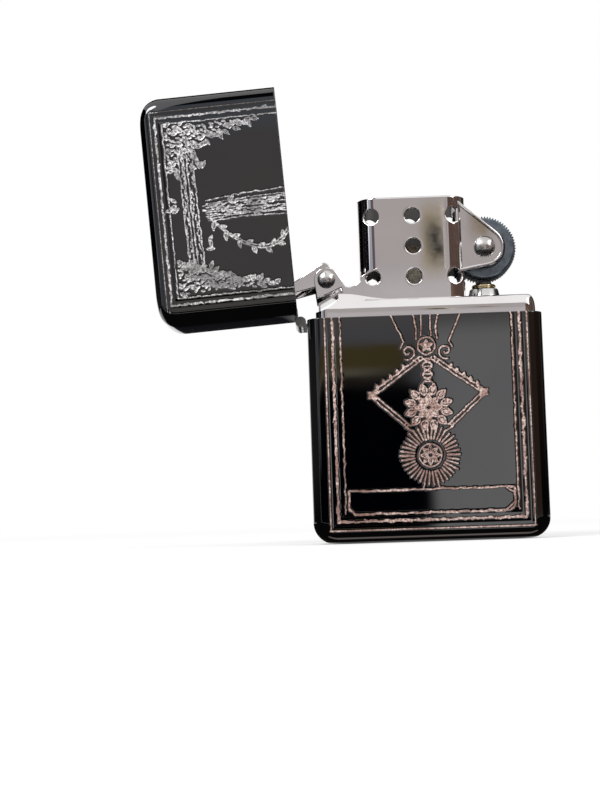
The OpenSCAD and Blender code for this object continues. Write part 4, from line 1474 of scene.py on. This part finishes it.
# What the polished faces mirror: glowing cards, seen only in reflections, that paint reflections of a
# grey ceiling, dark walls and a brown band, and single painted highlights and dark marks. Each card's
# name, middle, size, facing, colour, softness of its sides and of its top and bottom, and lean
CARDS = (
    ("upper", (-20, BACK, 108), (180, 92), "Y", (0.42, 0.395, 0.39), (0.04, 0.16)),
    ("mauve", (-145, BACK - 1, 130), (110, 150), "Y", (0.13, 0.095, 0.115), (0.1, 0.1)),
    ("pale", (-250, BACK - 2, 140), (170, 130), "Y", (0.40, 0.42, 0.46), (0.1, 0.1)),
    ("left", (-185, BACK - 1, 8), (407, 78), "Y", (0.002, 0.003, 0.008), (0.02, 0.12), -11),
    ("line", (-190, BACK - 2, 49), (404, 3.6), "Y", (0.54, 0.48, 0.35), (0.08, 0.6)),
    ("band", (-190, BACK - 3, 53.6), (414, 9), "Y", (0.32, 0.245, 0.095), (0.05, 0.16)),
    ("glow", (-190, BACK - 4, 47), (412, 22), "Y", (0.10, 0.085, 0.07), (0.04, 0.9)),
    ("grey", (-190, BACK - 5, 64), (420, 40), "Y", (0.42, 0.42, 0.45), (0.02, 0.1)),
    ("wall", (-190, BACK - 6, 20), (420, 130), "Y", (0.02, 0.02, 0.03), (0.02, 0.02)),
    ("brown_low", (190, BACK - 7, 20), (280, 130), "Y", (0.16, 0.10, 0.075), (0.04, 0.1)),
    ("brown_high", (180, BACK - 8, 104), (310, 76), "Y", (0.10, 0.063, 0.052), (0.04, 0.1)),
    # Small cards that paint single reflections, light and dark, onto the insert
    ("gold", (20.6, BACK + 1, 91), (10.5, 28), "Y", (0.33, 0.28, 0.19), (0.6, 0.5)),
    ("blob", (21.4, BACK + 2, 90), (8.5, 18), "Y", (0.02, 0.02, 0.019), (0.75, 0.7), -1.5),
    ("streak", (24.9, BACK + 3, 90), (1.7, 27), "Y", (0.78, 0.72, 0.60), (0.8, 0.3), -2.4),
    ("light", (20, BACK + 0.5, 71), (100, 24), "Y", (0.50, 0.475, 0.485), (0.2, 0.7)),
    ("bronze", (36, BACK + 1, 97), (10, 17), "Y", (0.24, 0.19, 0.13), (0.8, 0.6)),
    ("side_left", (-320, 110, 42), (600, 86), "X", (0.07, 0.07, 0.07), (0.05, 0.5)),
    ("side_dark", (-322, 110, 135), (600, 400), "X", (0.004, 0.005, 0.009), (0.02, 0.02)),
    ("side_right", (330, -100, 165), (300, 310), "X", (0.09, 0.06, 0.048), (0.1, 0.35)),
    ("right_pale", (332, 80, 165), (140, 310), "X", (0.15, 0.13, 0.115), (0.3, 0.35)),
    ("right_dark", (336, 110, 130), (760, 420), "X", (0.012, 0.010, 0.010), (0.02, 0.02)),
    ("behind", (0, 420, 520), (700, 760), "Y", (0.012, 0.012, 0.015), (0.02, 0.15)),
    # Cards that paint cool and dark bands onto the lid's rounded edge
    ("lid_cool", (-32, -62, 98), (30, 38), "Y", (0.40, 0.44, 0.50), (0.02, 0.2)),
    ("lid_left", (-78, -60, 40), (38, 56), "Y", (0.30, 0.34, 0.40), (0.4, 0.3)),
    ("lid_dark", (-32, -60, 160), (30, 110), "Y", (0.012, 0.014, 0.018), (0.02, 0.12)),
    # Dark cards over the floor that paint a dark reflection into the lower roundings
    ("apron", (5, -72, 0.3), (690, 266), "Z", (0.02, 0.018, 0.018), (0.05, 0.25)),
    ("apron_back", (-52, 330, 0.32), (90, 640), "Z", (0.012, 0.012, 0.015), (0.35, 0.05)),
    # A bright strip on the floor that paints a highlight line along the case's bottom edge
    ("foot", (0, -6.6, 0.34), (34, 0.8), "Z", (1.0, 0.86, 0.80), (0.03, 0.6)),
)
FLOOR_HALF = 3.0
FLOOR_COLOUR = (0.92, 0.92, 0.92)
WORLD_LIGHT = 0.75


def seen_directly(tree):
    """1 for camera, glossy and transmission rays."""
    path = add_node(tree, "LightPath").outputs
    seen = maths(tree, "MAXIMUM", path["Is Camera Ray"], path["Is Glossy Ray"])
    return maths(tree, "MAXIMUM", seen, path["Is Transmission Ray"])


def make_floor():
    """A pale floor that keeps the object's shadow and turns white away from it."""
    mesh = square("floor", [(u * FLOOR_HALF, v * FLOOR_HALF, 0) for u, v in SQUARE])
    obj = add_to_scene("floor", mesh)
    material, tree, bsdf = new_material("floor")
    feed(tree, bsdf, {"Base Color": FLOOR_COLOUR, "Roughness": 1.0, "Specular IOR Level": 0.0})
    place = add_node(tree, "TexCoord").outputs["Object"]
    away = add_node(tree, "VectorMath", {0: place}, operation="LENGTH").outputs["Value"]
    share = maths(tree, "MULTIPLY", seen_directly(tree), spread(tree, away, 0.45, 1.0, 0.08, 0.35))
    shown = mix_shaders(tree, share, bsdf, add_node(tree, "Emission", {"Strength": 1.0}))
    feed(tree, tree.nodes["Material Output"], {"Surface": shown})
    mesh.materials.append(material)


def make_world():
    """Plain white light, and white itself where it is seen directly."""
    world = bpy.data.worlds.new("studio")
    bpy.context.scene.world = world
    world.use_nodes = True
    tree = world.node_tree
    strength = spread(tree, seen_directly(tree), WORLD_LIGHT, 1.0, 0, 1)
    feed(tree, tree.nodes["Background"], {"Color": (1, 1, 1), "Strength": strength})


LAMP_AIM = (0, 0, 35)


def lamp(name, at, size, power):
    """A soft area lamp that faces the lighter."""
    data = bpy.data.lights.new(name, "AREA")
    data.shape = "DISK"
    data.size = size * MM
    data.energy = power
    obj = add_to_scene(name, data)
    obj.location = Vector(at) * MM
    direction = Vector(LAMP_AIM) * MM - obj.location
    obj.rotation_euler = direction.to_track_quat("-Z", "Y").to_euler()


CAMERA_AIM = (-19.86, -6.35, 22.48)
CAMERA_DISTANCE = 228
CAMERA_ELEVATION = -4.45
CAMERA_AZIMUTH = 0.88
CAMERA_ROLL = -1.84
CAMERA_LENS = 66.2
CAMERA_SENSOR = 36


def make_camera():
    """The photo's view: it looks from a little below the horizontal and is rolled a little."""
    data = bpy.data.cameras.new("camera")
    data.sensor_fit = "VERTICAL"
    data.sensor_width = CAMERA_SENSOR
    data.sensor_height = CAMERA_SENSOR
    data.lens = CAMERA_LENS
    data.clip_start = 0.001
    data.clip_end = 50
    obj = add_to_scene("camera", data)
    az, el, roll = (math.radians(a) for a in (CAMERA_AZIMUTH, CAMERA_ELEVATION, CAMERA_ROLL))
    away = Vector((math.sin(az) * math.cos(el), -math.cos(az) * math.cos(el), math.sin(el)))
    right = Vector((math.cos(az), math.sin(az), 0))
    up = away.cross(right)
    tilted = right * math.cos(roll) + up * math.sin(roll)
    upward = away.cross(tilted)
    rotation = Matrix((tilted, upward, away)).transposed().to_4x4()
    at = (Vector(CAMERA_AIM) + away * CAMERA_DISTANCE) * MM
    obj.matrix_world = Matrix.Translation(at) @ rotation
    bpy.context.scene.camera = obj


def make_stage():
    """All that is round the lighter, and the camera."""
    make_floor()
    make_world()
    for name, *rest in CARDS:
        card("card_" + name, *rest)
    lamp("key", (-260, -300, 420), 260, 1.6)
    lamp("fill", (340, -200, 260), 300, 0.7)
    make_camera()
    bpy.context.scene.view_settings.view_transform = "Standard"


def make_lighter():
    """Every piece of the lighter, new or carried over from CAD."""
    materials = make_materials()
    dress_carried(materials)
    make_case(materials["case"])
    make_lid(materials["lid"])
    make_deck(materials["chrome"])
    make_chimney(materials["chimney"])
    make_cam(materials["chrome"])
    rivet = materials["rivet"]
    make_rivet("cam_rivet", CAM_HEAD_LOW, CAM_HEAD_HIGH, CHIMNEY_HALF_D, RIVET_HOLE_R, rivet)
    make_rivet("wheel_rivet", AXLE_LOW, AXLE_HIGH, BRACKET_Y, AXLE_HOLE_R, rivet)
    make_wheel(materials["wheel"])
    make_tube(materials["brass"], materials["spring"])
    make_coil(materials["spring"])
    make_wick(materials["wick"])


make_lighter()
make_stage()
